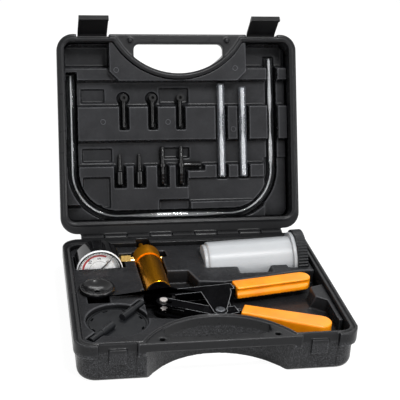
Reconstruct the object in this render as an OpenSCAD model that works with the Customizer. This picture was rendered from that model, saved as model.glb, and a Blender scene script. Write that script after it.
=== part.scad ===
// Hand vacuum pump kit in a fitted carrying case, shown open.
// Origin: centre of the underside of the case base. +X right, +Y towards the hinge, +Z up. Millimetres.

/* [Case] */
// Width of the case across the hinge
case_w = 300; // [290:1:320]
// Depth of the case from handle to hinge side
case_d = 244; // [240:1:260]
// Height of the base
base_h = 46; // [45:0.5:56]
// Depth of the lid
lid_h = 44; // [43:0.5:56]
// Corner radius of the rim seen from above
corner_r = 20; // [16:1:24]
// Wall of the outer shells
shell_wall = 3; // [2:0.1:3.4]
// Wall of the moulded inner trays
tray_wall = 2.5; // [1.8:0.1:2.6]
// Height of the proud rim flange
flange_h = 15.5; // [14:0.5:18]
// Step from the rim flange in to the lower body
flange_step = 3.5; // [2:0.1:4]
// Rounding along the bottom edge of a shell
bottom_r = 9; // [5:0.5:12]
// Width of the rim at both sides
rim_side = 9; // [8:0.5:10]
// Width of the rim at the handle side
rim_front = 9; // [8:0.5:10]
// Width of the rim at the hinge side
rim_rear = 15; // [13:0.5:16]
// Gap between the two rims when shut
lid_gap = 0.3; // [0.2:0.1:1]
// Angle the lid stands open
lid_open = 113; // [100:1:115]

/* [Handle] */
// Half width of the handle bite at the front edge
bite_half_w = 78; // [74:1:80]
// Depth of the handle bite behind the front edge
bite_depth = 48; // [44:1:50]
// Half width of the hand hole
hand_half_w = 56; // [50:1:58]
// Depth of the handle bar, front to back
bar_d = 12; // [10:0.5:13]
// Height of each half of the handle bar
bar_h = 10; // [8:0.5:12]
// Rim left between the hand hole and the tray
bite_rim = 7; // [6.5:0.5:8]
// Distance of a locating pin from the middle
locator_x = 60.5; // [60:0.5:64]
// Radius of a locating pin
locator_r = 2.5; // [2:0.1:3]

/* [Hinge and latches] */
// Distance of the hinge axis behind the rims
hinge_back = 5.5; // [5.2:0.1:7]
// Drop of the hinge axis below the rim of the base
hinge_drop = 2.8; // [2:0.1:3.4]
// Outer radius of a hinge knuckle
knuckle_r = 4.5; // [4:0.1:4.8]
// Radius of the hinge pin
hinge_pin_r = 2; // [1.5:0.1:2.5]
// Distance of the row of knuckles from each side
hinge_in = 24; // [22:1:34]
// Distance of a latch's middle from the side
latch_in = 44; // [40:0.5:46]
// Width of a latch
latch_w = 36; // [30:0.5:37]
// Reach of a latch below its pin
latch_l = 37; // [36:0.5:38]
// Thickness of a latch plate
latch_t = 3.5; // [2.5:0.1:4]
// Angle each latch stands off its shut position
latch_ajar = 29; // [0:1:40]
// Radius of a latch pin
latch_pin_r = 1; // [0.8:0.05:1.1]

/* [Base tray] */
// Height of the tray's top face above the table
plateau_z = 41; // [40:0.5:42]
// Floor height of the deepest pockets
deep_z = 5.5; // [5.5:0.1:6]
// Floor height of the handle pocket
grip_floor_z = 24; // [20:0.5:25]
// Room around a stowed piece
room = 0.5; // [0.3:0.1:0.8]

/* [Pump barrel] */
// Outer radius of the barrel
barrel_r = 15.2; // [14.5:0.1:15.4]
// Bore radius of the barrel
bore_r = 12.5; // [11.5:0.1:13]
// Length of the barrel
barrel_l = 75; // [73:0.5:76]
// Outer radius of the rear collar
collar_r = 16.2; // [16:0.1:17]
// Length of the rear collar
collar_l = 24; // [22:0.5:25]
// Depth of the barrel's seat in the collar
collar_seat = 6; // [5:0.5:7]
// Distance the nipple reaches past the collar
nipple_l = 23; // [15:0.5:24]
// Radius of the hose nipple
nipple_r = 3; // [2.4:0.1:3.4]
// Bore radius of the hose nipple
nipple_bore = 1.6; // [1:0.1:1.8]

/* [Pump piston] */
// Radius of the piston rod
rod_r = 4; // [3.5:0.1:4.4]
// Length of the piston
piston_l = 10; // [9:0.5:11]
// Gap between the piston and the rear wall at rest
piston_rest = 2.5; // [2:0.1:4]
// Running clearance of pistons, rods and pins
running = 0.05; // [0.03:0.01:0.09]
// Wire radius of the return spring
spring_wire = 0.9; // [0.7:0.05:1.1]
// Turns of the return spring
spring_turns = 10; // [8:1:12]
// Squeeze of the lever
lever_swing = 16; // [10:1:16]

/* [Pump handles] */
// Distance of the rod pin in front of the barrel
pin_y = 30; // [28:0.5:31]
// Distance of the lever pivot to the right of the barrel axis
pivot_x = 56.6; // [55:0.2:58]
// Distance of the lever pivot in front of the barrel
pivot_y = 60.4; // [59:0.2:61]
// Half height of the handle frame
frame_half = 9; // [8.4:0.1:9.4]
// Sheet thickness of frame and lever
sheet = 1.6; // [1.2:0.1:2]
// Radius of the rod pin
pin_r = 2.5; // [2:0.1:2.8]
// Radius of the pivot rivet
rivet_r = 3; // [2.5:0.1:3.5]
// Gap between the fixed grip's end and the right rim
grip_end_gap = 11.2; // [10:0.2:24]
// Width of the fixed grip
fixed_grip_w = 20; // [18:0.5:21]
// Length that the lever grip has over the fixed grip
lever_grip_more = 11; // [6:1:14]
// Width of the lever grip at its root
lever_grip_w = 19; // [17:0.5:20]
// Radius of the lever grip's round end
lever_grip_end = 12.4; // [11:0.2:13]
// Half height of both grips
grip_half = 7; // [6.4:0.1:7.4]

/* [Gauge] */
// Outer radius of the gauge
gauge_r = 27.5; // [26:0.1:27.6]
// Depth of the gauge from bezel to back
gauge_d = 32; // [30:0.5:32]
// Distance of the gauge axis to the left of the barrel axis
gauge_x = 59.5; // [59:0.1:60]
// Wall of the gauge case
gauge_wall = 1.5; // [1:0.1:2]
// Distance of the brass fitting behind the gauge face
stem_back = 23.7; // [22:0.1:24]
// Radius of the brass fitting's pipe
stem_r = 4; // [3.5:0.1:4.5]
// Width of the hexagon across its corners
hex_w = 16; // [14:0.5:17]

/* [Jar] */
// Outer radius of the jar
jar_r = 25; // [24:0.1:25.4]
// Overall length of jar and cap
jar_l = 122; // [116:1:124]
// Wall of the jar
jar_wall = 1.8; // [1.2:0.1:2.4]
// Outer radius of the ribbed cap
cap_r = 32.5; // [32:0.1:32.6]
// Height of the ribbed cap
cap_h = 12; // [10:0.5:14]
// Lift of the cap end
jar_tilt = 2.6; // [0:0.1:2.8]
// Radius of the transfer lid
transfer_r = 33; // [32:0.1:33.4]
// Radius of the cup adapter's lip
cup_r = 19.5; // [18.5:0.1:20]
// Radius of the cup adapter's body
cup_body_r = 14.5; // [13:0.1:15]

/* [Hose and fittings] */
// Outer radius of hose and tubes
hose_r = 5; // [4.4:0.1:5.2]
// Bore radius of hose and tubes
hose_bore = 3; // [2:0.1:3.4]
// Bend radius of the hose in its channel
hose_bend = 56; // [52:1:58]
// Depth of the lid tray's raised faces below the rim
lid_plateau = 14; // [14:0.5:15]
// Depth of the lid tray's valleys below the rim
lid_valley = 24.4; // [24.2:0.1:25]
// Depth of the hose axis below the rim
hose_depth = 31; // [30.6:0.1:31.4]
// Radius of a cone adapter's foot
cone_r = 4.4; // [4:0.1:4.6]
// Radius of a barbed connector's pipe
barb_r = 3; // [2.6:0.1:3.2]
// Radius of an elbow adapter's head
elbow_r = 4.6; // [4:0.1:4.8]

/* [Hidden] */
$fn = 96;
eps = 0.01;
front_y = -case_d / 2;
rear_y = case_d / 2;
// Inner faces of the rim, which the stowed pieces keep their distance from
left_in = -case_w / 2 + rim_side;
right_in = case_w / 2 - rim_side;
front_in = front_y + rim_front;
rear_in = rear_y - rim_rear;
// Lower body of a shell
body_w = case_w - 2 * flange_step;
body_d = case_d - 2 * flange_step;
// Handle bite: a round cut through both halves below the bar
bite_r = (bite_half_w * bite_half_w + bite_depth * bite_depth) / (2 * bite_depth);
bite_y = front_y + bite_depth - bite_r;
hand_corner = 7;
// Space that holds a tray
well_w = case_w - 2 * rim_side;
well_d = case_d - rim_front - rim_rear;
well_y = (rim_front - rim_rear) / 2;
well_r = corner_r - 10;
well_bite = bite_r + bite_rim;
tray_fit = 0.3;
// Seal ridge of the lid and its groove in the base
groove_in = 2.2;
groove_w = 3;
groove_h = 1.6;
ridge_h = 1.1;
ridge_play = 0.6;
// Hinge
hinge_y = rear_y + hinge_back;
hinge_z = base_h - hinge_drop;
knuckles = 9;
knuckle_gap = 0.6;
knuckle_play = 0.5;
hinge_l = case_w - 2 * hinge_in;
knuckle_l = hinge_l / knuckles;
// Latches, in the position of the shut lid
latch_x = case_w / 2 - latch_in;
latch_pin_y = front_y + 3;
latch_pin_z = base_h + lid_gap + 9;
latch_eye_r = 2.2;
bay_w = latch_w + 4;
bay_in = 5.5;
bay_floor_z = 5.5;
bay_lid_h = 18;
catch_w = 18;
catch_h = 17;
catch_out = 3.5;
catch_gap = 0.6;
hook_h = 3;
latch_tip_z = latch_pin_z - latch_l;
// Pump frame: its origin is the middle of the barrel's front face
pump_in = 92.8;
pump_behind = 106.7;
pump_at = [left_in + pump_in, rear_in - pump_behind, 35];
pump_yaw = 1.93;
collar_y = barrel_l - collar_seat;
collar_end = collar_y + collar_l;
seat_fit = 0.05;
disc_t = 3;
bush_l = 8;
piston_y = barrel_l - piston_rest - piston_l;
oring_r = 1.25;
oring_mid = bore_r - oring_r - running;
spring_mid = (rod_r + bore_r) / 2;
spring_gap = 0.5;
pin_at = [0, -pin_y];
pivot_at = [pivot_x, -pivot_y];
arm = pin_at - pivot_at;
arm_l = norm(arm);
arm_angle = atan2(arm[1], arm[0]);
arm_end = -arm[0] / cos(180 - arm_angle - lever_swing);
slot_play = 0.6;
lever_half = frame_half - sheet - 0.4;
eye_half = lever_half - sheet - 0.4;
pin_head_r = 4.3;
head_h = 2;
strip_w = 12.4;
strip_angle = 5.2;
strip_at = [14, -15.2];
strip_l = 69;
fixed_grip_at = [85, -9.6];
fixed_grip_angle = 8;
fixed_grip_l = right_in - grip_end_gap - pump_at[0] - fixed_grip_at[0];
lever_grip_l = fixed_grip_l + lever_grip_more;
tang_h = 9;
fixed_grip_up = 4;
lever_grip_up = 2.5;
tang_t = 3;
tang_end = 10;
lever_grip_at = [75.4, -56.9];
lever_grip_angle = -25.4;
lever_eye = 8;
groove_r = 3.6;
ear_r = 8;
// Gauge, in the pump frame
stem_y = barrel_l + stem_r + 1;
gauge_face = stem_y - stem_back;
bezel_t = 2.5;
bezel_w = 3;
lens_t = 1.6;
dial_y = gauge_face + 6.5;
dial_t = 0.8;
needle_y = gauge_face + 3.6;
spindle_r = 0.9;
stem_block = 8;
stem_in = 13;
tube_mid = 16;
tube_r = 2;
gauge_play = 0.3;
// Jar, along its own axis from the cap's face
jar_end_gap = 4.2;
jar_behind = 35;
jar_at = [right_in - jar_end_gap, rear_in - jar_behind, 38.5];
neck_r = jar_r + 3.4;
neck_l = 14;
flange_t = 2.4;
shoulder = neck_l + 10;
notch_x = [jar_at[0] - 78.8, jar_at[0] - 50.8];
notch_y = jar_at[1] - 42;
neck_play = 0.4;
notch_slope = 8;
cap_top = 2;
liner_t = 1.2;
cap_ribs = 56;
rib_h = 0.9;
// Loose pieces in the base
transfer_at = [left_in + 40, front_in + 50];
transfer_h = 6;
transfer_z = 30;
nozzle_r = 4;
nozzle_tip = 3;
nozzle_angle = 50;
nozzle_in = 9;
nozzle_out = 48;
cup_at = [left_in + 24, transfer_at[1] + 65];
cup_lip = 5;
cup_slot = 28;
cup_slot_w = 24;
cup_floor_z = 12;
cup_bore = 3;
// Lid contents: distances from the hinge edge of the rim
hose_left_in = 8.5;
hose_right_in = 19;
hose_left_x = left_in + hose_left_in;
hose_right_x = right_in - hose_right_in;
hose_bottom_v = 20;
hose_left_end = 196;
hose_right_end = 217;
tube_xs = [55.5, 83.5];
tube_from = 67;
tube_tos = [184, 180];
elbow_xs = [-68, -32, 3];
elbow_v = 167;
elbow_tip_v = 131;
elbow_stem_r = 2.6;
elbow_h = 14;
elbow_up = 7.5;
cone_xs = [-74.5, -50];
cone_from = 59;
cone_to = 97;
straight_x = -20.5;
barb_from = 59;
barb_to = 106;
tee_x = 3;
tee_v = 83;
tee_arm = 25;
seat_gap = 0.3;
tube_depth = lid_valley - hose_r - seat_gap;
cone_depth = lid_valley - cone_r - seat_gap;
barb_out = 1.2;
barb_depth = lid_valley - barb_r - barb_out - seat_gap;
channel_w = 2 * (hose_r + 2);
slot_w = 11.5;
hand_block = 4;
lid_draft = 0.22;
hand_block_v = 187;
hand_block_half = 86;
hand_block_cut = 12;

// Places
module lid_pose() {
    translate([0, hinge_y, hinge_z]) rotate([-lid_open, 0, 0]) translate([0, -hinge_y, -hinge_z]) children();
}
module lid_at(x, v, d) { translate([x, rear_y - v, base_h + lid_gap + d]) children(); }
module pump_pose() { translate(pump_at) rotate([0, 0, pump_yaw]) children(); }
module jar_pose() { translate(jar_at) rotate([0, 90 - jar_tilt, 0]) children(); }
// Lays a piece that is drawn along +Z along +Y
module along_y() { rotate([-90, 0, 0]) children(); }

// Shapes that repeat
module plate(w, d, r, h) {
    linear_extrude(h) union() {
        square([w - 2 * r, d], center = true);
        square([w, d - 2 * r], center = true);
        for (x = [-1, 1], y = [-1, 1]) translate([x * (w / 2 - r), y * (d / 2 - r)]) circle(r);
    }
}
module box(low, high) { translate(low) cube(high - low); }
// Box whose sides spread by a slope towards its lower face
module sloped_box(x0, x1, y0, y1, z0, z1, slope) {
    polyhedron(
        points = [[x0 - slope, y0 - slope, z0], [x1 + slope, y0 - slope, z0], [x1 + slope, y1 + slope, z0],
            [x0 - slope, y1 + slope, z0], [x0, y0, z1], [x1, y0, z1], [x1, y1, z1], [x0, y1, z1]],
        faces = [[0, 1, 2, 3], [7, 6, 5, 4], [4, 5, 1, 0], [5, 6, 2, 1], [6, 7, 3, 2], [7, 4, 0, 3]]);
}
module ring(outer, inner, h) {
    difference() {
        cylinder(h = h, r = outer);
        translate([0, 0, -1]) cylinder(h = h + 2, r = inner);
    }
}
module well(grow, from, to) {
    difference() {
        translate([0, well_y, from]) plate(well_w + 2 * grow, well_d + 2 * grow, well_r + grow, to - from);
        translate([0, bite_y, from - 1]) cylinder(h = to - from + 2, r = well_bite - grow);
    }
}
module rounded_foot(h) {
    hull() for (x = [-1, 1], y = [-1, 1])
        translate([x * (body_w / 2 - corner_r), y * (body_d / 2 - corner_r), -0.3])
            rotate_extrude($fn = 32) difference() {
                union() {
                    translate([0, bottom_r]) square([corner_r, h - bottom_r]);
                    square([corner_r - bottom_r, h]);
                    translate([corner_r - bottom_r, bottom_r]) circle(bottom_r, $fn = 32);
                }
                translate([-2 * corner_r, -1]) square([2 * corner_r, h + 2]);
            }
}
// One half of the case with its floor at z 0 and its rim at z h
module half_shell(h, bay_from) {
    difference() {
        union() {
            translate([0, 0, h - flange_h]) plate(case_w, case_d, corner_r, flange_h);
            rounded_foot(h - flange_h + 1);
        }
        translate([-case_w, -case_d, -2]) cube([2 * case_w, 2 * case_d, 2]);
        well(0, h - flange_h, h + 1);
        difference() {
            translate([0, 0, shell_wall])
                plate(body_w - 2 * shell_wall, body_d - 2 * shell_wall, corner_r - shell_wall,
                    h - flange_h - shell_wall + eps);
            translate([0, bite_y, 0]) cylinder(h = h, r = bite_r + shell_wall);
        }
        translate([0, bite_y, -1]) cylinder(h = h - bar_h + 1, r = bite_r);
        intersection() {
            translate([0, bite_y, 0]) cylinder(h = h + 1, r = bite_r);
            translate([0, front_y + bar_d + bite_depth, 0])
                plate(2 * hand_half_w, 2 * bite_depth, hand_corner, h + 1);
        }
        for (x = [-latch_x, latch_x])
            box([x - bay_w / 2, front_y - 1, bay_from], [x + bay_w / 2, front_y + bay_in, h + 1]);
    }
}
module seal_track(play, from, to) {
    difference() {
        well(groove_in + groove_w - play, from, to);
        well(groove_in + play, from - 1, to + 1);
    }
}
module knuckle_row(first) {
    for (i = [first:2:knuckles - 1])
        translate([-hinge_l / 2 + i * knuckle_l + knuckle_gap / 2, 0, 0]) rotate([90, 0, 90])
            linear_extrude(knuckle_l - knuckle_gap) children();
}
module hinge_bore() {
    translate([-case_w, hinge_y, hinge_z]) rotate([0, 90, 0])
        cylinder(h = 2 * case_w, r = hinge_pin_r + running);
}

// Pockets of the base tray, grown by the tray's wall for its underside
module jar_pocket(g) {
    jar_pose() translate([0, 0, -jar_l - room - g]) union() {
        cylinder(h = jar_l + 2 * g, r = jar_r + room + g);
        translate([-2 * jar_r, -jar_r - room - g, 0]) cube([2 * jar_r, 2 * (jar_r + room + g),
            jar_l + 2 * g]);
    }
    jar_pose() translate([0, 0, -shoulder - room - g]) union() {
        cylinder(h = shoulder + 2 * room + g, r = cap_r + room + g);
        translate([-2 * cap_r, -cap_r - room - g, 0])
            cube([2 * cap_r, 2 * (cap_r + room + g), shoulder + 2 * room + g]);
    }
    translate([0, jar_at[1] - jar_r / 2, 0]) rotate([90, 0, 0])
        linear_extrude(jar_at[1] - jar_r / 2 - notch_y + g)
        polygon([[notch_x[0] - g, grip_floor_z - g], [notch_x[1] + g, grip_floor_z - g],
            [notch_x[1] + g + notch_slope, base_h], [notch_x[0] - g - notch_slope, base_h]]);
}
module gauge_pocket(g) {
    pump_pose() box([-gauge_x - gauge_r - room - g, gauge_face - 2 * room - g, deep_z - g - pump_at[2]],
        [-gauge_x + gauge_r + 3 + g, gauge_face + gauge_d + room + g, base_h]);
    pump_pose() box([-gauge_x, stem_y - hex_w / 2 - 2 - g, -hex_w / 2 - room - g],
        [0, stem_y + hex_w / 2 + 2 + g, base_h]);
}
module barrel_pocket(g) {
    pump_pose() translate([0, -disc_t - room - g, 0]) union() {
        along_y() cylinder(h = collar_end + disc_t + 2 * (room + g), r = collar_r + tray_fit + g);
        translate([-collar_r - tray_fit - g, 0, 0])
            cube([2 * (collar_r + tray_fit + g), collar_end + disc_t + 2 * (room + g), base_h]);
    }
    pump_pose() box([-nipple_r - 6 - g, 0, -nipple_r - 2 - g], [nipple_r + 4 + g, collar_end + 40, base_h]);
    pump_pose() box([0, collar_y + 8 - g, -5 - g], [collar_r + 7 + g, collar_end - 1 + g, base_h]);
}
module handle_pocket(g) {
    translate([0, 0, grip_floor_z - g]) linear_extrude(base_h) polygon([
        [pump_at[0] - 19.8 - g, pump_at[1] - 62.3 - g], [pump_at[0] + 68.2, pump_at[1] - 74.3 - g],
        [pump_at[0] + 106.2, front_in + 7 - g], [case_w, front_in + 7 - g], [case_w, pump_at[1] + 25.7 + g],
        [right_in - 17 + g, pump_at[1] + 29.7 + g], [pump_at[0] + 78.2, pump_at[1] + 9.7 + g],
        [pump_at[0] + 48.2 + g, pump_at[1] + 13.7 + g], [pump_at[0] + 39.7 + g, pump_at[1] + 40.7 + g],
        [pump_at[0], pump_at[1] + 40.7 + g], [pump_at[0], pump_at[1] - 0.3],
        [pump_at[0] - 19.8 - g, pump_at[1] - 0.3]]);
}
module cup_pocket(g) {
    translate([cup_at[0], cup_at[1], cup_floor_z - room - g]) union() {
        cylinder(h = base_h, r = cup_body_r + room + g);
        translate([-cup_slot_w / 2 - g, -cup_slot - g, 0]) cube([cup_slot_w + 2 * g, cup_slot + g, base_h]);
    }
}
module transfer_pocket(g) {
    translate([transfer_at[0], transfer_at[1], transfer_z - tray_fit - g]) union() {
        cylinder(h = base_h, r = transfer_r + room + g);
        rotate([0, 0, nozzle_angle]) translate([-nozzle_out - 2 - g, -nozzle_r - 1 - g, transfer_h - room])
            cube([2 * (nozzle_out + 2 + g), 2 * (nozzle_r + 1 + g), base_h]);
    }
}
module base_pockets(g) {
    jar_pocket(g);
    gauge_pocket(g);
    barrel_pocket(g);
    handle_pocket(g);
    cup_pocket(g);
    transfer_pocket(g);
}
// Stop block at the right wall that keeps the grips from sliding out: its sides at the top and at the foot
stop_top = [[-15.5, -32.3], [-15.5, -9.8], [-3, -5.3], [8, -5.3], [8, -84.3], [-4.5, -84.3], [-4.5, -41.3]];
stop_foot = [[-20.5, -28.21], [-20.5, -11.6], [-3, -5.3], [8, -5.3], [8, -84.3], [-4.5, -84.3], [-4.5, -41.3]];
module stop_block() {
    n = len(stop_top);
    translate([right_in, pump_at[1], 0]) polyhedron(
        points = concat([for (p = stop_foot) [p[0], p[1], grip_floor_z - eps]],
            [for (p = stop_top) [p[0], p[1], plateau_z]]),
        faces = concat([[for (i = [n - 1:-1:0]) i], [for (i = [0:n - 1]) n + i]],
            [for (i = [0:n - 1]) [i, (i + 1) % n, n + (i + 1) % n, n + i]]));
}

// Case
module base_shell() color("#26272a") difference() {
    union() {
        half_shell(base_h, bay_floor_z);
        for (x = [-latch_x, latch_x]) translate([x, front_y + bay_in, latch_tip_z + hook_h + catch_gap])
            translate([-catch_w / 2, -catch_out, 0]) cube([catch_w, catch_out + 1, catch_h]);
        knuckle_row(0) union() {
            translate([hinge_y, hinge_z]) circle(knuckle_r);
            polygon([[rear_y - 2, hinge_z - 3 * knuckle_r], [hinge_y, hinge_z - knuckle_r],
                [hinge_y, hinge_z], [rear_y - 2, hinge_z]]);
        }
    }
    hinge_bore();
    seal_track(0, base_h - groove_h, base_h + 1);
    for (x = [-locator_x, locator_x]) translate([x, front_y + 8, base_h - 7])
        cylinder(h = 8, r = locator_r + 0.5);
    pump_pose() box([-nipple_r - 6, 80, -nipple_r - 2], [nipple_r + 4, collar_end + nipple_l + 2, base_h]);
}
module base_tray() color("#2b2c2f") difference() {
    union() {
        difference() {
            union() {
                well(-tray_fit, plateau_z - tray_wall, plateau_z);
                intersection() {
                    base_pockets(tray_wall);
                    well(-tray_fit, shell_wall, plateau_z);
                }
            }
            base_pockets(0);
        }
        intersection() {
            stop_block();
            well(-tray_fit, 0, base_h);
        }
    }
}
module lid_shell() color("#26272a") lid_pose() difference() {
    union() {
        translate([0, 0, base_h + lid_gap + lid_h]) mirror([0, 0, 1]) half_shell(lid_h, lid_h - bay_lid_h);
        seal_track(ridge_play, base_h + lid_gap - ridge_h, base_h + lid_gap + 1);
        for (x = [-locator_x, locator_x]) translate([x, front_y + 8, base_h + lid_gap - 4])
            cylinder(h = 5, r = locator_r);
        knuckle_row(0) difference() {
            polygon([[rear_y - 2, base_h + lid_gap], [rear_y + 0.6, base_h + lid_gap], [hinge_y - 3,
                hinge_z + 2.6],
                [hinge_y, hinge_z + knuckle_r], [hinge_y, base_h + 9], [rear_y - 2, base_h + 9]]);
            translate([hinge_y, hinge_z]) circle(knuckle_r + knuckle_play);
        }
        knuckle_row(1) union() {
            translate([hinge_y, hinge_z]) circle(knuckle_r);
            polygon([[rear_y - 2, base_h + lid_gap], [rear_y + 0.6, base_h + lid_gap],
                [hinge_y - 3, hinge_z], [hinge_y + knuckle_r, hinge_z], [hinge_y, base_h + 9],
                    [rear_y - 2, base_h + 9]]);
        }
    }
    hinge_bore();
    for (x = [-latch_x, latch_x]) translate([x - bay_w / 2 - 4, latch_pin_y, latch_pin_z])
        rotate([0, 90, 0]) cylinder(h = bay_w + 8, r = latch_pin_r + running);
}
// Pockets of the lid tray, as [low x, low v], [high x, high v], depth
function lid_boxes() = concat(
    [for (v = [[158, hand_block_v], [84, 112]]) [[left_in - 1, v[0]], [right_in + 1, v[1]], lid_valley]],
    [for (s = [-1, 1]) [[s * (right_in - 28.5) - 26.5, 208], [s * (right_in - 28.5) + 26.5, 232], 34]],
    [[[left_in + 21, 162], [left_in + 49, 178], lid_valley + 4], [[-22, 161], [14, 179], lid_valley + 4],
        [[left_in + 21, 88], [left_in + 57, 104], lid_valley + 4], [[-22, 92], [14, 104], lid_valley + 4]],
    [[[left_in + 21, 31], [left_in + 53, 68], 19], [[right_in - 129, 37], [right_in - 23, 65], 19],
        [[right_in - 29, 8], [right_in + 1, 90], 27]],
    [[[-25, 22], [12, 38], 22], [[left_in - 1, 8], [left_in + 41, 32], 30]],
    [for (x = cone_xs) [[x - slot_w / 2, cone_from - 2], [x + slot_w / 2, 90], lid_valley]],
    [for (x = [straight_x, tee_x]) [[x - slot_w / 2, barb_from - 2], [x + slot_w / 2, 90], lid_valley]],
    [[[tee_x, tee_v - slot_w / 2], [tee_x + tee_arm + 3, 90], lid_valley]],
    [for (x = tube_xs) [[x - slot_w / 2, tube_from - 2], [x + slot_w / 2, 170], lid_valley]],
    [for (x = elbow_xs) [[x - elbow_stem_r - 1.5, elbow_tip_v - 2], [x + elbow_stem_r + 1.5, 164],
        lid_valley]]);
module lid_pockets(g) {
    for (b = lid_boxes())
        sloped_box(b[0][0] - g, b[1][0] + g, rear_y - b[1][1] - g, rear_y - b[0][1] + g,
            base_h, base_h + lid_gap + b[2] + g, lid_draft * (b[2] + lid_gap + g));
    for (x = elbow_xs) {
        lid_at(x, elbow_v, -lid_gap) cylinder(h = lid_valley + 4 + lid_gap + g, r = 8 + g);
        lid_at(x, elbow_tip_v + 2, -lid_gap) cylinder(h = lid_valley + lid_gap + g, r = 6 + g);
    }
    for (s = [-1, 1]) lid_at(s < 0 ? hose_left_x + hose_bend : hose_right_x - hose_bend,
        hose_bottom_v + hose_bend, -lid_gap)
        intersection() {
            ring(hose_bend + channel_w / 2 + g, hose_bend - channel_w / 2 - g,
                hose_depth + hose_r + 0.3 + lid_gap + g);
            translate([s < 0 ? -2 * hose_bend : 0, 0, 0]) cube([2 * hose_bend, 2 * hose_bend,
                2 * hose_depth]);
        }
    hose_floor = hose_depth + hose_r + 0.3;
    for (r = [[hose_left_x, hose_left_end], [hose_right_x, hose_right_end]])
        lid_at(r[0] - channel_w / 2 - g, r[1] + 3 + g, -lid_gap)
            cube([channel_w + 2 * g, r[1] + 3 + g - hose_bottom_v - hose_bend, hose_floor + lid_gap + g]);
    lid_at(hose_left_x + hose_bend, hose_bottom_v + channel_w / 2 + g, -lid_gap)
        cube([hose_right_x - hose_left_x - 2 * hose_bend, channel_w + 2 * g, hose_floor + lid_gap + g]);
}
module lid_tray() color("#2b2c2f") lid_pose() union() {
    difference() {
        union() {
            well(-tray_fit, base_h + lid_gap + lid_plateau, base_h + lid_gap + lid_plateau + tray_wall);
            intersection() {
                lid_pockets(tray_wall);
                well(-tray_fit, base_h + lid_gap + lid_plateau, base_h + lid_gap + lid_h - shell_wall);
            }
        }
        lid_pockets(0);
    }
    intersection() {
        well(-tray_fit, base_h + lid_gap + hand_block, base_h + lid_gap + lid_plateau + eps);
        lid_at(0, hand_block_v, 0) linear_extrude(lid_h) polygon([[-hand_block_half, -hand_block_cut],
            [hand_block_cut - hand_block_half, 0], [hand_block_half - hand_block_cut, 0],
            [hand_block_half, -hand_block_cut], [hand_block_half, -case_d], [-hand_block_half, -case_d]]);
    }
}
module hinge_pin() color("#8a8c90") translate([-hinge_l / 2, hinge_y, hinge_z]) rotate([0, 90, 0])
    cylinder(h = hinge_l, r = hinge_pin_r);

// Latches
module latch(x) color("#1b1b1d") lid_pose()
    translate([x, latch_pin_y, latch_pin_z]) rotate([-latch_ajar, 0, 0]) difference() {
        rotate([90, 0, 90]) translate([0, 0, -latch_w / 2]) union() {
            cylinder(h = latch_w, r = latch_eye_r);
            linear_extrude(latch_w) polygon([[-1.5, 0.5], [0.5, -1.5], [-1.5, -5], [-1.5, -latch_l + hook_h],
                [1.4, -latch_l + hook_h], [1.4, -latch_l], [-1.5 - latch_t, -latch_l],
                [-1.5 - latch_t, -latch_l + 7], [-latch_t - 0.6, -latch_l + 9], [-latch_t - 0.6, -6],
                [-latch_eye_r, -2]]);
        }
        rotate([0, 90, 0]) cylinder(h = latch_w + 2, r = latch_pin_r + running, center = true);
    }
module latch_left() latch(-latch_x);
module latch_right() latch(latch_x);
module latch_pin(x) color("#8a8c90") lid_pose() translate([x - bay_w / 2 - 3.5, latch_pin_y, latch_pin_z])
    rotate([0, 90, 0]) cylinder(h = bay_w + 7, r = latch_pin_r);
module latch_pin_left() latch_pin(-latch_x);
module latch_pin_right() latch_pin(latch_x);

// Pump barrel and ends
module barrel() color("#d9920f") pump_pose() along_y() ring(barrel_r, bore_r, barrel_l);
module rear_collar() color("#cf8a10") pump_pose() difference() {
    along_y() translate([0, 0, collar_y]) rotate_extrude() polygon([
        [barrel_r + seat_fit, 0], [collar_r, 0], [collar_r, collar_l - 3], [collar_r - 1, collar_l - 1],
        [collar_r - 3, collar_l], [0, collar_l], [0, collar_seat], [barrel_r + seat_fit, collar_seat]]);
    translate([-2.5, barrel_l - 1, 3]) along_y() cylinder(h = collar_l, r = nipple_r + seat_fit);
    translate([0, stem_y, 0]) rotate([0, -90, 0]) translate([0, 0, 9])
        cylinder(h = collar_r, r = stem_r + seat_fit);
    translate([0, stem_y + 4, 0]) rotate([0, 90, 0]) translate([0, 0, 9])
        cylinder(h = collar_r, r = 1.6 + seat_fit);
    along_y() translate([0, 0, barrel_l - 1]) cylinder(h = 3.2, r = 8 + seat_fit);
}
module hose_nipple() color("#c8a04a") pump_pose() translate([-2.5, barrel_l + 2.6, 3]) along_y()
    rotate_extrude()
    polygon([[nipple_bore, 0], [nipple_r, 0], [nipple_r, collar_end - barrel_l + 5], [nipple_r + 0.7,
        collar_end - barrel_l + 5],
        [nipple_r - 0.3, collar_end - barrel_l + 10], [nipple_r + 0.7, collar_end - barrel_l + 10],
        [nipple_r - 0.4, collar_end - barrel_l - 2.6 + nipple_l], [nipple_bore,
            collar_end - barrel_l - 2.6 + nipple_l]]);
module vent_screw() color("#c8a04a") pump_pose() translate([0, stem_y + 4, 0]) rotate([0, 90, 0]) union() {
    translate([0, 0, 10]) cylinder(h = collar_r - 10 + 1, r = 1.6);
    translate([0, 0, collar_r + 0.2]) cylinder(h = 2.2, r = 2.6);
}
module front_bush() color("#1c1c1e") pump_pose() along_y() ring(bore_r - seat_fit, rod_r + running, bush_l);
module head_screws() color("#3a3b3e") pump_pose() for (a = [100, 160])
    rotate([0, -a, 0]) translate([10, -disc_t - 1.2, 0]) along_y() cylinder(h = 1.2, r = 1.8);

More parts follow.
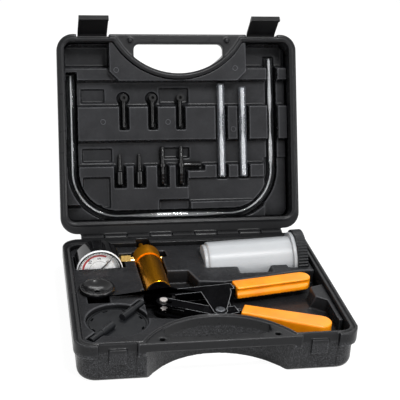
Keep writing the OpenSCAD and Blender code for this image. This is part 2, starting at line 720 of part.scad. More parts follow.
// Handles
module frame_outline() {
    difference() {
        union() {
            polygon([[1, -disc_t + 1], [14, -disc_t + 1], [20, -8.4], strip_at + [0, strip_w / 2],
                strip_at - [0, strip_w / 2], [1, -12]]);
            translate(strip_at) rotate(strip_angle) translate([0, -strip_w / 2]) square([strip_l, strip_w]);
            polygon([[44, -16], [79, -11], [78, -23], pivot_at + [ear_r, 2], pivot_at + [-ear_r, 2]]);
            translate(pivot_at) circle(ear_r);
        }
        translate(pivot_at) circle(rivet_r + seat_fit);
    }
}
module handle_frame() color("#131314") pump_pose() union() {
    difference() {
        translate([0, -disc_t, 0]) along_y() cylinder(h = disc_t, r = barrel_r);
        translate([0, -disc_t - 1, 0]) along_y() cylinder(h = disc_t + 2, r = rod_r + 0.4);
    }
    for (z = [-frame_half, frame_half - sheet]) translate([0, 0, z]) linear_extrude(sheet) frame_outline();
    translate(strip_at) rotate(strip_angle) translate([4, strip_w / 2 - sheet, -frame_half])
        cube([strip_l - 4, sheet, 2 * frame_half]);
    translate(fixed_grip_at) rotate(fixed_grip_angle) translate([-8, -tang_t / 2, fixed_grip_up - tang_h / 2])
        cube([fixed_grip_l - tang_end + 8, tang_t, tang_h]);
    translate(strip_at) rotate(strip_angle) translate([strip_l - 6, -strip_w / 2, -frame_half])
        cube([6, strip_w, 2 * frame_half]);
}
module fixed_grip() color("#f08a12") pump_pose() translate(fixed_grip_at) rotate(fixed_grip_angle)
    difference() {
    translate([0, 0, fixed_grip_up - grip_half]) linear_extrude(2 * grip_half) union() {
        translate([0, -fixed_grip_w / 2]) square([fixed_grip_l - fixed_grip_w / 2, fixed_grip_w]);
        translate([fixed_grip_l - fixed_grip_w / 2, 0]) circle(fixed_grip_w / 2);
    }
    translate([-1, -tang_t / 2 - seat_fit, fixed_grip_up - tang_h / 2 - seat_fit])
        cube([fixed_grip_l - tang_end + 1 + seat_fit, tang_t + 2 * seat_fit, tang_h + 2 * seat_fit]);
    translate([-1, -fixed_grip_w / 2 - groove_r / 4, fixed_grip_up + 2]) rotate([0, 90, 0])
        cylinder(h = 2 * fixed_grip_l, r = groove_r);
}
module lever_outline() {
    difference() {
        union() {
            translate(pin_at) rotate(arm_angle - 180) translate([0, -lever_eye])
                square([arm_l, 2 * lever_eye]);
            translate(pin_at) circle(lever_eye);
            translate(pivot_at) circle(lever_eye);
            polygon([pivot_at + [0, lever_eye], lever_grip_at + [0, 7], lever_grip_at + [2, -7],
                pivot_at + [0, -lever_eye]]);
        }
        translate(pivot_at) circle(rivet_r + running);
        translate(pivot_at) rotate(arm_angle) union() {
            translate([arm_end - slot_play, -pin_r - slot_play])
                square([arm_l - arm_end + 2 * slot_play, 2 * (pin_r + slot_play)]);
            translate([arm_l + slot_play, 0]) circle(pin_r + slot_play);
            translate([arm_end - slot_play, 0]) circle(pin_r + slot_play);
        }
    }
}
module lever() color("#161617") pump_pose() union() {
    for (z = [-lever_half, lever_half - sheet]) translate([0, 0, z]) linear_extrude(sheet) lever_outline();
    translate(pivot_at) rotate(arm_angle - 180) translate([-arm_l + 26, -lever_eye, -lever_half])
        cube([arm_l - 40, sheet, 2 * lever_half]);
    translate(lever_grip_at) rotate(lever_grip_angle) translate([-10, -tang_t / 2, -lever_half])
        cube([8, tang_t, 2 * lever_half]);
    translate(lever_grip_at) rotate(lever_grip_angle) translate([-6, -tang_t / 2, lever_grip_up - tang_h / 2])
        cube([lever_grip_l - tang_end + 6, tang_t, tang_h]);
}
module lever_grip() color("#f4941c") pump_pose() translate(lever_grip_at) rotate(lever_grip_angle)
    difference() {
    translate([0, 0, lever_grip_up - grip_half]) linear_extrude(2 * grip_half) union() {
        polygon([[7, -lever_grip_w / 2], [lever_grip_l - lever_grip_end, -lever_grip_end],
            [lever_grip_l - lever_grip_end, lever_grip_end], [7, lever_grip_w / 2]]);
        translate([lever_grip_l - lever_grip_end, 0]) circle(lever_grip_end);
    }
    translate([0, -tang_t / 2 - seat_fit, lever_grip_up - tang_h / 2 - seat_fit])
        cube([lever_grip_l - tang_end + seat_fit, tang_t + 2 * seat_fit, tang_h + 2 * seat_fit]);
}
module pivot_rivet() color("#2a2b2e") pump_pose() translate(pivot_at) union() {
    translate([0, 0, -frame_half - head_h]) cylinder(h = head_h, r = rivet_r + 2.5);
    translate([0, 0, -frame_half - eps]) cylinder(h = 2 * frame_half + 2 * eps, r = rivet_r);
    translate([0, 0, frame_half]) cylinder(h = head_h - 0.8, r = rivet_r + 2.5);
    translate([0, 0, frame_half + head_h - 0.8]) cylinder(h = 0.8, r1 = rivet_r + 2.5, r2 = rivet_r + 1);
}

// Piston group, moved by the lever
module piston_rod() color("#9a9ca0") pump_pose() union() {
    difference() {
        union() {
            translate([0, -pin_y, 0]) along_y() cylinder(h = pin_y + piston_y, r = rod_r);
            translate([0, -pin_y, -eye_half]) cylinder(h = 2 * eye_half, r = pin_r + 2.6);
        }
        translate([0, -pin_y, -2 * eye_half]) cylinder(h = 4 * eye_half, r = pin_r + seat_fit);
    }
}
module rod_pin() color("#d8d4cc") pump_pose() translate([0, -pin_y, 0]) union() {
    translate([0, 0, -lever_half - 2.6]) cylinder(h = 2 * lever_half + 2.8 + eps, r = pin_r);
    translate([0, 0, lever_half + 0.2]) cylinder(h = head_h, r = pin_head_r);
    translate([0, 0, -lever_half - 2.2]) cylinder(h = 2, r = pin_head_r - 0.4, $fn = 6);
}
module piston() color("#3c3d40") pump_pose() along_y() translate([0, 0, piston_y]) difference() {
    rotate_extrude() polygon([[0, 0], [bore_r - running, 0], [bore_r - running, 3.4],
        [oring_mid - oring_r - seat_fit, 3.4],
        [oring_mid - oring_r - seat_fit, 6.6], [bore_r - running, 6.6], [bore_r - running, piston_l],
            [0, piston_l]]);
    translate([0, 0, piston_l - 1.5]) cylinder(h = 2, r = 5 + seat_fit);
}
module piston_ring() color("#101010") pump_pose() along_y() translate([0, 0, piston_y + 5])
    rotate_extrude() translate([oring_mid, 0]) circle(oring_r, $fn = 32);
module outlet_valve() color("#101010") pump_pose() along_y()
    translate([0, 0, piston_y + piston_l - 1.5]) cylinder(h = 1.5, r = 5);
module inlet_valve() color("#101010") pump_pose() along_y() translate([0, 0, barrel_l + 0.3]) ring(8, 2, 1.8);
// Coil spring as one tube swept along a helix, with its closed ends cut off square by the sweep
spring_from = bush_l + spring_gap + spring_wire;
spring_to = piston_y - spring_gap - spring_wire;
spring_rings = 8 * spring_turns;
spring_sides = 6;
function spring_ring(i) = let (a = 360 * i / 8, rise = (spring_to - spring_from) / spring_rings)
    [for (k = [0:spring_sides - 1]) let (b = 360 * k / spring_sides, r = spring_mid + spring_wire * cos(b))
        [r * cos(a), r * sin(a), spring_from + i * rise + spring_wire * sin(b)]];
module return_spring() color("#b8bac0") pump_pose() along_y() polyhedron(
    points = [for (i = [0:spring_rings]) each spring_ring(i)],
    faces = concat(
        [for (i = [0:spring_rings - 1], k = [0:spring_sides - 1], half = [0, 1])
            let (a = i * spring_sides + k, b = i * spring_sides + (k + 1) % spring_sides,
                c = a + spring_sides, d = b + spring_sides) half == 0 ? [a, c, b] : [b, c, d]],
        [for (k = [1:spring_sides - 2]) [0, k, k + 1]],
        [for (k = [1:spring_sides - 2]) let (e = spring_rings * spring_sides) [e, e + k + 1, e + k]]));
spring_clear = (spring_to - spring_from) / spring_turns - 2 * spring_wire;
echo(spring_least_gap = spring_clear);

// Gauge
module gauge_pose() { pump_pose() translate([-gauge_x, 0, 0]) children(); }
module gauge_fitting() color("#c8a04a") pump_pose() translate([0, stem_y, 0]) rotate([0, -90, 0])
    difference() {
    union() {
        translate([0, 0, 10]) cylinder(h = gauge_x - stem_in - 10, r = stem_r);
        translate([0, 0, collar_r + 0.4]) cylinder(h = 4, r = stem_r + 2);
        translate([0, 0, collar_r + 4]) cylinder(h = gauge_x - gauge_r - collar_r - 4.3, r = hex_w / 2,
            $fn = 6);
        translate([-stem_block / 2, -stem_block / 2, gauge_x - stem_in - stem_block])
            cube([stem_block, stem_block, stem_block]);
    }
    translate([0, 0, 5]) cylinder(h = gauge_x - stem_in - 12, r = stem_r - 2);
}
module gauge_case() color("#0d0d0e") gauge_pose() difference() {
    translate([0, gauge_face + bezel_t, 0]) along_y() cylinder(h = gauge_d - bezel_t, r = gauge_r);
    translate([0, gauge_face + bezel_t - 1, 0]) along_y()
        cylinder(h = gauge_d - bezel_t - gauge_wall + 1, r = gauge_r - gauge_wall);
    translate([0, stem_y, 0]) rotate([0, 90, 0]) cylinder(h = 2 * gauge_r, r = stem_r + seat_fit);
}
module gauge_bezel() color("#0d0d0e") gauge_pose() translate([0, gauge_face, 0]) along_y()
    ring(gauge_r, gauge_r - bezel_w, bezel_t);
module gauge_lens() color("#dfe8ec", 0.3) gauge_pose() translate([0, gauge_face + 0.5, 0]) along_y()
    cylinder(h = lens_t, r = gauge_r - bezel_w - seat_fit);
module gauge_dial() color("#f2f2ee") gauge_pose() translate([0, dial_y, 0]) along_y()
    ring(gauge_r - gauge_wall - seat_fit, spindle_r + 0.5, dial_t);
module gauge_needle() color("#141414") gauge_pose() union() {
    translate([0, needle_y, 0]) along_y() cylinder(h = stem_y - stem_block / 2 - 6 - needle_y, r = spindle_r);
    translate([0, needle_y, 0]) along_y() cylinder(h = 1.4, r = 2.6);
    translate([0, needle_y + 0.5, 0]) rotate([90, -45, 0]) translate([0, 0, -0.4]) linear_extrude(0.6)
        polygon([[-8, -1.3], [-8, 1.3], [19, 0.35], [19, -0.35]]);
}
module gauge_movement() color("#b9a06a") gauge_pose() difference() {
    union() {
        box([-8, stem_y - stem_block / 2 - 8, -6], [stem_in + 4, stem_y - stem_block / 2 - 6.4, 6]);
        box([stem_in, stem_y - stem_block / 2 - 6.4, -stem_block / 2], [stem_in + 4,
            stem_y - stem_block / 2, stem_block / 2]);
    }
    translate([0, gauge_face, 0]) along_y() cylinder(h = gauge_d, r = spindle_r + running);
}
module bourdon_tube() color("#b9a06a") gauge_pose() translate([0, stem_y, 0]) rotate([90, 0, 0])
    rotate([0, 0, 17])
    rotate_extrude(angle = 250) translate([tube_mid, 0]) circle(tube_r, $fn = 32);

// Jar and loose pieces in the base
module jar() color("#e8ecee", 0.6) jar_pose() rotate_extrude() polygon([
    [0, -jar_l], [jar_r - 3, -jar_l], [jar_r - 3, -jar_l + 4], [jar_r, -jar_l + 5],
    [jar_r, -neck_l - flange_t], [neck_r + 1.2, -neck_l - flange_t], [neck_r + 1.2, -cap_h - 0.4],
    [neck_r, -cap_h - 0.4], [neck_r, -cap_top - liner_t - 0.1], [neck_r - jar_wall, -cap_top - liner_t - 0.1],
    [neck_r - jar_wall, -neck_l], [jar_r - jar_wall, -neck_l - jar_wall], [jar_r - jar_wall, -jar_l + 8],
    [jar_r - 3 - jar_wall, -jar_l + 6], [jar_r - 3 - jar_wall, -jar_l + 2], [0, -jar_l + 2]]);
module ribbed_disc(r, h) {
    linear_extrude(h) polygon([for (i = [0:4 * cap_ribs - 1])
        let (a = 90 * i / cap_ribs, q = i % 4 < 2 ? r : r - rib_h) [q * cos(a), q * sin(a)]]);
}
module jar_cap() color("#1d1e20") jar_pose() difference() {
    translate([0, 0, -cap_h]) ribbed_disc(cap_r, cap_h);
    translate([0, 0, -cap_h - 1]) cylinder(h = cap_h + 1 - cap_top, r = neck_r + neck_play);
}
module cap_liner() color("#cfd3d5") jar_pose() translate([0, 0, -cap_top - liner_t])
    cylinder(h = liner_t, r = neck_r);
module transfer_pose() { translate([transfer_at[0], transfer_at[1], transfer_z]) children(); }
module transfer_nozzle() {
    rotate([0, 0, nozzle_angle]) translate([0, 0, transfer_h + nozzle_r - 0.6]) rotate([0, 90, 0])
        rotate_extrude() polygon([[0, nozzle_in], [nozzle_r, nozzle_in], [nozzle_r, 0.6 * nozzle_out],
            [nozzle_tip, 0.62 * nozzle_out], [nozzle_tip, nozzle_out], [0, nozzle_out]]);
}
module transfer_lid() color("#25282c") transfer_pose() difference() {
    union() {
        cylinder(h = transfer_h - 1.2, r = transfer_r);
        ring(transfer_r, transfer_r - 2, transfer_h);
        cylinder(h = transfer_h, r = transfer_r - 3);
        transfer_nozzle();
        rotate([0, 0, 180]) transfer_nozzle();
    }
    translate([0, 0, -1]) cylinder(h = transfer_h - 1.6, r = neck_r + neck_play);
    for (i = [0:7]) rotate([0, 0, 45 * i + 22.5]) translate([transfer_r - 6, -3, -1])
        cube([2.2, 6, transfer_h + 2]);
}
module transfer_liner() color("#3a3c40") transfer_pose() translate([0, 0, transfer_h - 2.6 - liner_t])
    cylinder(h = liner_t, r = neck_r - 2);
module cup_adapter() color("#161618") translate([cup_at[0], cup_at[1], 0]) rotate_extrude() polygon([
    [cup_bore, cup_floor_z], [cup_body_r - 3, cup_floor_z], [cup_body_r, plateau_z], [cup_r - 1, plateau_z],
    [cup_r, plateau_z + 2], [cup_r, plateau_z + cup_lip - 1], [cup_r - 1, plateau_z + cup_lip],
    [cup_r - 3, plateau_z + cup_lip], [cup_r - 6, plateau_z + cup_lip - 3.2],
    [cup_r - 11, plateau_z + cup_lip - 5.4], [cup_bore, plateau_z + cup_lip - 6.2]]);

// Lid contents
module tube_along_y(l) { along_y() ring(hose_r, hose_bore, l); }
module hose_section() { translate([hose_bend, 0]) difference()
    { circle(hose_r, $fn = 48); circle(hose_bore, $fn = 48); } }
module long_hose() color("#c8ccd0", 0.5) lid_pose() union() {
    lid_at(hose_left_x, hose_left_end, hose_depth) tube_along_y(hose_left_end - hose_bottom_v - hose_bend);
    lid_at(hose_right_x, hose_right_end, hose_depth) tube_along_y(hose_right_end - hose_bottom_v - hose_bend);
    lid_at(hose_left_x + hose_bend, hose_bottom_v, hose_depth) rotate([0, 90, 0])
        ring(hose_r, hose_bore, hose_right_x - hose_left_x - 2 * hose_bend);
    lid_at(hose_left_x + hose_bend, hose_bottom_v + hose_bend, hose_depth) rotate([0, 0, 90])
        rotate_extrude(angle = 90) hose_section();
    lid_at(hose_right_x - hose_bend, hose_bottom_v + hose_bend, hose_depth)
        rotate_extrude(angle = 90) hose_section();
}
module short_tube(i) color("#c8ccd0", 0.5) lid_pose() lid_at(tube_xs[i], tube_tos[i], tube_depth)
    tube_along_y(tube_tos[i] - tube_from);
module short_tube_left() short_tube(0);
module short_tube_right() short_tube(1);
module elbow(i) color("#141415") lid_pose() lid_at(elbow_xs[i], elbow_v, lid_valley + 3.7 - elbow_h)
    difference() {
    union() {
        cylinder(h = elbow_h, r = elbow_r);
        translate([0, 0, elbow_h - elbow_up]) along_y() cylinder(h = elbow_v - elbow_tip_v, r = elbow_stem_r);
        translate([0, elbow_v - elbow_tip_v - 6, elbow_h - elbow_up]) along_y()
            cylinder(h = 6, r1 = elbow_stem_r + 0.9, r2 = elbow_stem_r - 0.6);
    }
    translate([0, 0, -1]) cylinder(h = elbow_h - 3, r = 2);
    translate([0, 0, elbow_h - elbow_up]) along_y() cylinder(h = elbow_v, r = 1.2);
}
module elbow_left() elbow(0);
module elbow_middle() elbow(1);
module elbow_right() elbow(2);
module cone(i) color("#151516") lid_pose() lid_at(cone_xs[i], cone_from, cone_depth) rotate([90, 0, 0])
    rotate_extrude() polygon([
    [1.2, 0], [cone_r - 0.6, 0], [cone_r, 1], [cone_r, 16], [cone_r - 1.6, 17.5], [cone_r - 2.4,
        cone_to - cone_from], [1.2, cone_to - cone_from]]);
module cone_left() cone(0);
module cone_right() cone(1);
// Barbed pipe along +Z with a collar in its middle
module barbed_pipe(l) {
    rotate_extrude() polygon(concat([[1.5, 0]],
        [for (i = [0:2], p = [[barb_r - 0.5, 0], [barb_r + 0.8, 3.5], [barb_r - 0.5, 3.5]])
            [p[0], p[1] + 4.5 * i]],
        [[barb_r - 0.5, l / 2 - 2], [barb_r + barb_out, l / 2 - 2], [barb_r + barb_out, l / 2 + 2],
            [barb_r - 0.5, l / 2 + 2]],
        [for (i = [2:-1:0], p = [[barb_r - 0.5, -3.5], [barb_r + 0.8, -3.5], [barb_r - 0.5, 0]])
            [p[0], l + p[1] - 4.5 * i]],
        [[1.5, l]]));
}
module straight_connector() color("#151516") lid_pose() lid_at(straight_x, barb_from, barb_depth)
    rotate([90, 0, 0])
    barbed_pipe(barb_to - barb_from);
module tee_connector() color("#151516") lid_pose() difference() {
    union() {
        lid_at(tee_x, barb_from, barb_depth) rotate([90, 0, 0]) barbed_pipe(barb_to - barb_from);
        lid_at(tee_x, tee_v, barb_depth) rotate([0, 90, 0]) translate([0, 0, 2])
            cylinder(h = tee_arm - 2, r = barb_r - 0.5);
        for (i = [0:2]) lid_at(tee_x + tee_arm - 4.5 * i - 3.5, tee_v, barb_depth) rotate([0, 90, 0])
            cylinder(h = 3.5, r1 = barb_r + 0.8, r2 = barb_r - 0.5);
    }
    lid_at(tee_x, tee_v, barb_depth) rotate([0, 90, 0]) cylinder(h = 2 * tee_arm, r = 1.5);
}

base_shell();
base_tray();
lid_shell();
lid_tray();
hinge_pin();
latch_left();
latch_right();
latch_pin_left();
latch_pin_right();
barrel();
rear_collar();
hose_nipple();
vent_screw();
front_bush();
handle_frame();
head_screws();
fixed_grip();
lever();
lever_grip();
pivot_rivet();
piston_rod();
rod_pin();
piston();
piston_ring();
return_spring();
inlet_valve();
outlet_valve();
gauge_fitting();
gauge_case();
gauge_bezel();
gauge_lens();
gauge_dial();
gauge_needle();
gauge_movement();
bourdon_tube();
jar();
jar_cap();
cap_liner();
transfer_lid();
transfer_liner();
cup_adapter();
long_hose();
short_tube_left();
short_tube_right();
elbow_left();
elbow_middle();
elbow_right();
cone_left();
cone_right();
straight_connector();
tee_connector();
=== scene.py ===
"""Hand vacuum pump kit in an open moulded case."""
import math

import bmesh
import bpy
from mathutils import Matrix, Vector


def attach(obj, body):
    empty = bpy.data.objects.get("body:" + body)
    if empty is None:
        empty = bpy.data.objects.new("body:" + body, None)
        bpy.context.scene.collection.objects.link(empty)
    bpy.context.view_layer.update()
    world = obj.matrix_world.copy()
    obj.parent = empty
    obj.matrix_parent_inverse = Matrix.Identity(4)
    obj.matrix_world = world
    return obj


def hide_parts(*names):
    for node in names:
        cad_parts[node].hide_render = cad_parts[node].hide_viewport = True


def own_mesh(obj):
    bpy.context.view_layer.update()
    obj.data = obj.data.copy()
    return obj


bl_info = {
    "name": "Vacuum Pump Kit",
    "version": (1, 0, 0),
    "blender": (4, 5, 0),
    "location": "View3D > Sidebar > Pump Kit",
    "description": "Dresses the packed model of a hand vacuum pump kit in its carrying case",
    "category": "Object",
}

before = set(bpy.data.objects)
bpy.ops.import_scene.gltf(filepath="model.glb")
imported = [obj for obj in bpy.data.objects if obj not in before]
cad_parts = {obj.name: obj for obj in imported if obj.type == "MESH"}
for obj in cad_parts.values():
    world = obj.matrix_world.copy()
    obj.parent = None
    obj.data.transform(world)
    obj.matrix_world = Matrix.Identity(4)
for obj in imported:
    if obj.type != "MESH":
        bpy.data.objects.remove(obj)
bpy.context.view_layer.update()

HINGE = Vector((0, 0.1275, 0.0432))
LID = (Matrix.Translation(HINGE) @ Matrix.Rotation(math.radians(-113), 4, "X")
       @ Matrix.Translation(-HINGE))
RIM = Vector((0, 0.122, 0.0463))
LID_RIM = LID @ Matrix.Translation(RIM)
OUTWARD = LID.to_3x3() @ Vector((0, 0, 1))
PUMP = Matrix.Translation((-0.0482, 0.0003, 0.035)) @ Matrix.Rotation(math.radians(1.93), 4, "Z")
ALONG_Y = Matrix.Rotation(math.radians(-90), 4, "X")
TO_FRONT = Matrix.Rotation(math.radians(90), 4, "X")
BARREL = PUMP @ ALONG_Y
GAUGE_PLACE = Vector((-0.0595, 0.0563, 0))
GAUGE = PUMP @ Matrix.Translation(GAUGE_PLACE) @ ALONG_Y
DIAL_FACE = PUMP @ Matrix.Translation(GAUGE_PLACE + Vector((0, 0.00645, 0))) @ TO_FRONT
JAR = Matrix.Translation((0.1368, 0.072, 0.0385)) @ Matrix.Rotation(math.radians(87.4), 4, "Y")
CUP = Matrix.Translation((-0.117, 0.002, 0.0))
STAR_PLACE = Matrix.Translation((-0.0472, -0.0346, 0.0363))

# Shares of their triangles that the moulded skins keep, and the grips' grid, in metres, and smoothing rounds
SHELL_KEEP = 0.2
TRAY_KEEP = 0.22
GRIP_KEEP = 0.35
GRIP_SKIN = 0.0007
GRIP_ROUNDS = 26

# Edges that turn by more than the first angle are rounded. Faces that meet at more than the second, or the
# third on a moulded skin, are shaded apart. In degrees
ROUND_ANGLE = 28.0
SHARP_ANGLE = 38.0
SKIN_ANGLE = 60.0

# Painted shade: pockets darken to a share of their colour, between two shares of open sky within a reach in
# metres
PAINTED_SHADE_DARK = 0.25
PAINTED_SHADE_SKY = (0.3, 0.9)
PAINTED_SHADE_REACH = 0.02
PAINTED_SHADE_SAMPLES = 8

# Painted highlight: edges lighten between two values of pointiness, by a factor for the trays and one for
# the shells
HIGHLIGHT_POINT = (0.505, 0.56)
TRAY_HIGHLIGHT = 4.0
SHELL_HIGHLIGHT = 2.5

# The leathery grain of the shells: scale, noise that shows, where it starts on the base and how it fades in
GRAIN_SCALE = 800.0
GRAIN_NOISE = (0.46, 0.74)
GRAIN_START = -0.0365
GRAIN_FADE = 0.002
LID_GRAIN_IN = 0.01

# Mould marks on the lid's tray: along the hinge, up the lid and into it, in millimetres
MOULD_MARKS = ((-78, 200.3, 4), (71.6, 202.5, 4), (-94.6, 137.3, 14), (-13.4, 136.4, 14), (70, 126.5, 14))

# The head's disc lies left of this, and the pale rim of painted highlight along the plates' edges is this
# wide, in metres. Faces are upper ones if their normals rise by this share
HEAD_END = -0.031
HIGHLIGHT_RIM_WIDTH = 0.0004
UPPER_RISE = 0.99

# The lobed screw's radii and height, and the barrel's bore, length and edge, in millimetres
STAR_RADII = (4.0, 2.4)
STAR_LOBES = 6
STAR_HEIGHT = 1.1
BARREL_BORE = 12.5
BARREL_LENGTH = 75
BARREL_EDGE = 0.4

# Turned profiles: radius and height in millimetres, and the steps of the larger ones
FINE_STEPS = 96
MARK_DISC = ((0, 0.5), (2.2, 0.5), (2.6, 0.9), (3.1, 0.9), (3.5, 0.5), (3.6, -0.6), (0, -0.6))
GAUGE_SHELL = ((26, 2.5), (27.5, 2.5), (27.5, 29.5), (26.6, 31.4), (25, 32), (0, 32), (0, 30.5), (26, 30.5))
GAUGE_RIM = ((26.1, 0.6), (26.4, 0.1), (26.8, 0), (27.2, 0.3), (27.5, 1.0), (27.5, 2.5), (26.1, 2.5))
LENS_SEAT = ((24.5, 1.5), (25.9, 0.9), (26.1, 1.0), (26.1, 2.5), (24.5, 2.5))
LENS = ((0, 0.5), (12, 0.6), (20, 0.8), (24.4, 1.1), (24.4, 2.1), (0, 2.1))
JAR_WALL = ((0, -122), (21.4, -122), (22, -121.4), (22, -118.4), (22.6, -117.8), (24.2, -117.4),
            (25, -116.4), (25, -17), (25.6, -16.4), (29.2, -16.4), (29.6, -16), (29.6, -12.8),
            (29.2, -12.4), (28.4, -12.4), (28.4, -3.4), (26.6, -3.4), (26.6, -14), (23.2, -15.8),
            (23.2, -114), (20.2, -116), (20.2, -120), (0, -120))
CUP_WALL = ((3, 12), (11.1, 12), (11.6, 12.6), (14.5, 40.6), (15.0, 41.0), (18.4, 41), (19.2, 41.8),
            (19.5, 43.2), (19.4, 44.8), (18.8, 45.7), (17.8, 46), (16.8, 45.8), (15.6, 44.8), (13.5, 42.9),
            (11, 41.6), (8.5, 40.7), (5.5, 40.1), (3.4, 39.8), (3, 39.4))

# The dial's scale: radii and sizes in millimetres, the figures' added weight in metres, and angles from the
# dial's right in degrees. A tick has its inner radius and its width as an angle
SCALE_START = 45
SCALE_SWEEP = 270
TICKS = 30
FIGURES = 6
FIGURE_STEP = 5
FIGURE_SIZE = 5.2
FIGURE_RADIUS = 14.6
FIGURE_WEIGHT = 0.00016
LONG_TICK = (20.2, 2.2)
SHORT_TICK = (20.8, 1.6)
TICK_OUTER = 22.3
SCALE_RING = (22.3, 22.7)
INNER_RING = (11.0, 11.3)
RED_ARC = (17.4, 19.7, 64, 238)

# The hose in the lid, in metres from the middle of its rim: its runs, its two ends, its depth and its bends
HOSE_LEFT = -0.1325
HOSE_RIGHT = 0.122
HOSE_LOW = -0.020
HOSE_LEFT_END = -0.196
HOSE_RIGHT_END = -0.217
HOSE_DEPTH = 0.031
HOSE_BEND = 0.056

# The short tubes, in metres: side, place across the lid and far end, then their depth and near end
TUBES = (("left", 0.0555, 0.184), ("right", 0.0835, 0.180))
TUBE_DEPTH = 0.0191
TUBE_NEAR = 0.067

# Inside of hose and tubes, and the radii of the thin pale core, a painted glint along them, in metres
HOSE_BORE = 0.003
GLINT_CORE = (0.001, 0.0006)

# Painted glints, as pale rods in hose and tubes: radius in millimetres, then place along the run, in
# millimetres or as a share of the tube
LOW_GLINT = ((0, -72), (0.7, -70), (2.0, -50), (2.8, -28), (2.8, 24), (2.0, 46), (0.7, 65), (0, 67))
RIGHT_GLINT = ((0, 1), (1.6, 2), (1.8, 30), (2.6, 50), (2.2, 62), (0.8, 72), (0.8, 92), (2.4, 106),
              (2.6, 120), (1.8, 134), (0.8, 140), (0, 141))
TUBE_GLINT = ((0, 0.01), (2.3, 0.015), (2.3, 0.24), (0.6, 0.36), (0.6, 0.5), (2.6, 0.62), (2.6, 0.985),
             (0, 0.99))
GLINT_STEPS = 20

# The photograph's camera: lens and sensor in millimetres, place in metres, and its right, up and back
CAMERA_LENS = 91.07
CAMERA_SENSOR = 36.0
CAMERA_PLACE = (-0.20362, -0.98367, 0.59122)
CAMERA_AXES = ((0.98345, -0.17408, 0.05025), (0.02522, 0.40613, 0.91347), (-0.17942, -0.89708, 0.40380))

# Lamps: name, then place, aim and size in metres, and power in watts
LAMPS = (("key", (0.25, -0.75, 1.4), (0, 0.05, 0.05), (0.25, 0.45), 24),
         ("rear strip", (0.1, 0.9, 1.3), (0, 0.1, 0.1), (1.2, 0.2), 9),
         ("right strip", (1.3, -1.1, 0.65), (0, 0.1, 0.1), (0.3, 0.6), 8),
         ("low fill", (-0.3, -1.7, 0.25), (0, 0, 0.06), (0.8, 0.3), 5),
         ("left strip", (-1.3, -1.2, 0.6), (0, 0.1, 0.1), (0.3, 0.6), 6))

# The floor's half width in metres, its glow and the glow's share, and the world's light on things
FLOOR_SIZE = 6.0
FLOOR_GLOW = 1.14
GLOW_SHARE = 0.82
WORLD_LIGHT = 0.14


class PumpKitCase(bpy.types.PropertyGroup):
    """Sizes and colours of the case."""
    plastic: bpy.props.FloatVectorProperty(
        name="Plastic", description="Colour of the moulded case", subtype="COLOR",
        size=3, min=0, max=1, default=(0.0095, 0.0097, 0.0105))
    latch: bpy.props.FloatVectorProperty(
        name="Latch", description="Colour of the latches", subtype="COLOR",
        size=3, min=0, max=1, default=(0.0045, 0.0045, 0.005))
    skin: bpy.props.FloatProperty(
        name="Skin", description="Grid of the blown skin", unit="LENGTH",
        min=0.0006, max=0.004, default=0.0009)
    rounds: bpy.props.IntProperty(
        name="Rounding", description="Smoothing rounds of the blown skin", min=0, max=20, default=6)


class PumpKitPump(bpy.types.PropertyGroup):
    """Sizes and colours of the pump."""
    gold: bpy.props.FloatVectorProperty(
        name="Barrel", description="Colour of the anodised barrel", subtype="COLOR",
        size=3, min=0, max=1, default=(0.92, 0.37, 0.006))
    grip: bpy.props.FloatVectorProperty(
        name="Grip", description="Colour of the grips", subtype="COLOR",
        size=3, min=0, max=1, default=(1.0, 0.28, 0.002))
    brass: bpy.props.FloatVectorProperty(
        name="Brass", description="Colour of the fittings", subtype="COLOR",
        size=3, min=0, max=1, default=(0.58, 0.38, 0.12))
    barrel_radius: bpy.props.FloatProperty(
        name="Barrel radius", description="Outside of the barrel", unit="LENGTH",
        min=0.01, max=0.02, default=0.0152)
    arc: bpy.props.FloatVectorProperty(
        name="Arc", description="Colour of the arc on the dial", subtype="COLOR",
        size=3, min=0, max=1, default=(0.42, 0.004, 0.009))


class PumpKitParts(bpy.types.PropertyGroup):
    """Sizes and colours of the jar, hose and adapters."""
    milky: bpy.props.FloatVectorProperty(
        name="Jar", description="Colour of the jar", subtype="COLOR",
        size=3, min=0, max=1, default=(0.66, 0.68, 0.7))
    cap: bpy.props.FloatVectorProperty(
        name="Cap", description="Colour of the cap and the transfer lid", subtype="COLOR",
        size=3, min=0, max=1, default=(0.0085, 0.0092, 0.0105))
    hose: bpy.props.FloatVectorProperty(
        name="Hose", description="Colour of the hose", subtype="COLOR",
        size=3, min=0, max=1, default=(0.03, 0.032, 0.036))
    hose_radius: bpy.props.FloatProperty(
        name="Hose radius", description="Outside of hose and tubes", unit="LENGTH",
        min=0.003, max=0.007, default=0.005)


def case():
    return bpy.context.scene.pump_kit_case


def pump():
    return bpy.context.scene.pump_kit_pump


def parts():
    return bpy.context.scene.pump_kit_parts


# Materials
def shader(name):
    """A new material with its tree, its shader and object coordinates."""
    material = bpy.data.materials.new(name)
    material.use_nodes = True
    tree = material.node_tree
    coords = tree.nodes.new("ShaderNodeTexCoord")
    return material, tree, tree.nodes["Principled BSDF"], coords.outputs["Object"]


def noise(tree, coords, scale, detail, stretch=None):
    """Noise on object coordinates, stretched along an axis if asked."""
    node = tree.nodes.new("ShaderNodeTexNoise")
    node.inputs["Scale"].default_value = scale
    node.inputs["Detail"].default_value = detail
    if stretch:
        mapping = tree.nodes.new("ShaderNodeMapping")
        mapping.inputs["Scale"].default_value = stretch
        tree.links.new(coords, mapping.inputs["Vector"])
        coords = mapping.outputs["Vector"]
    tree.links.new(coords, node.inputs["Vector"])
    return node.outputs["Fac"]


def span(tree, value, low, high, start=0.3, end=0.7):
    """Maps a noise value to a range."""
    node = tree.nodes.new("ShaderNodeMapRange")
    node.inputs["From Min"].default_value = start
    node.inputs["From Max"].default_value = end
    node.inputs["To Min"].default_value = low
    node.inputs["To Max"].default_value = high
    tree.links.new(value, node.inputs["Value"])
    return node.outputs["Result"]


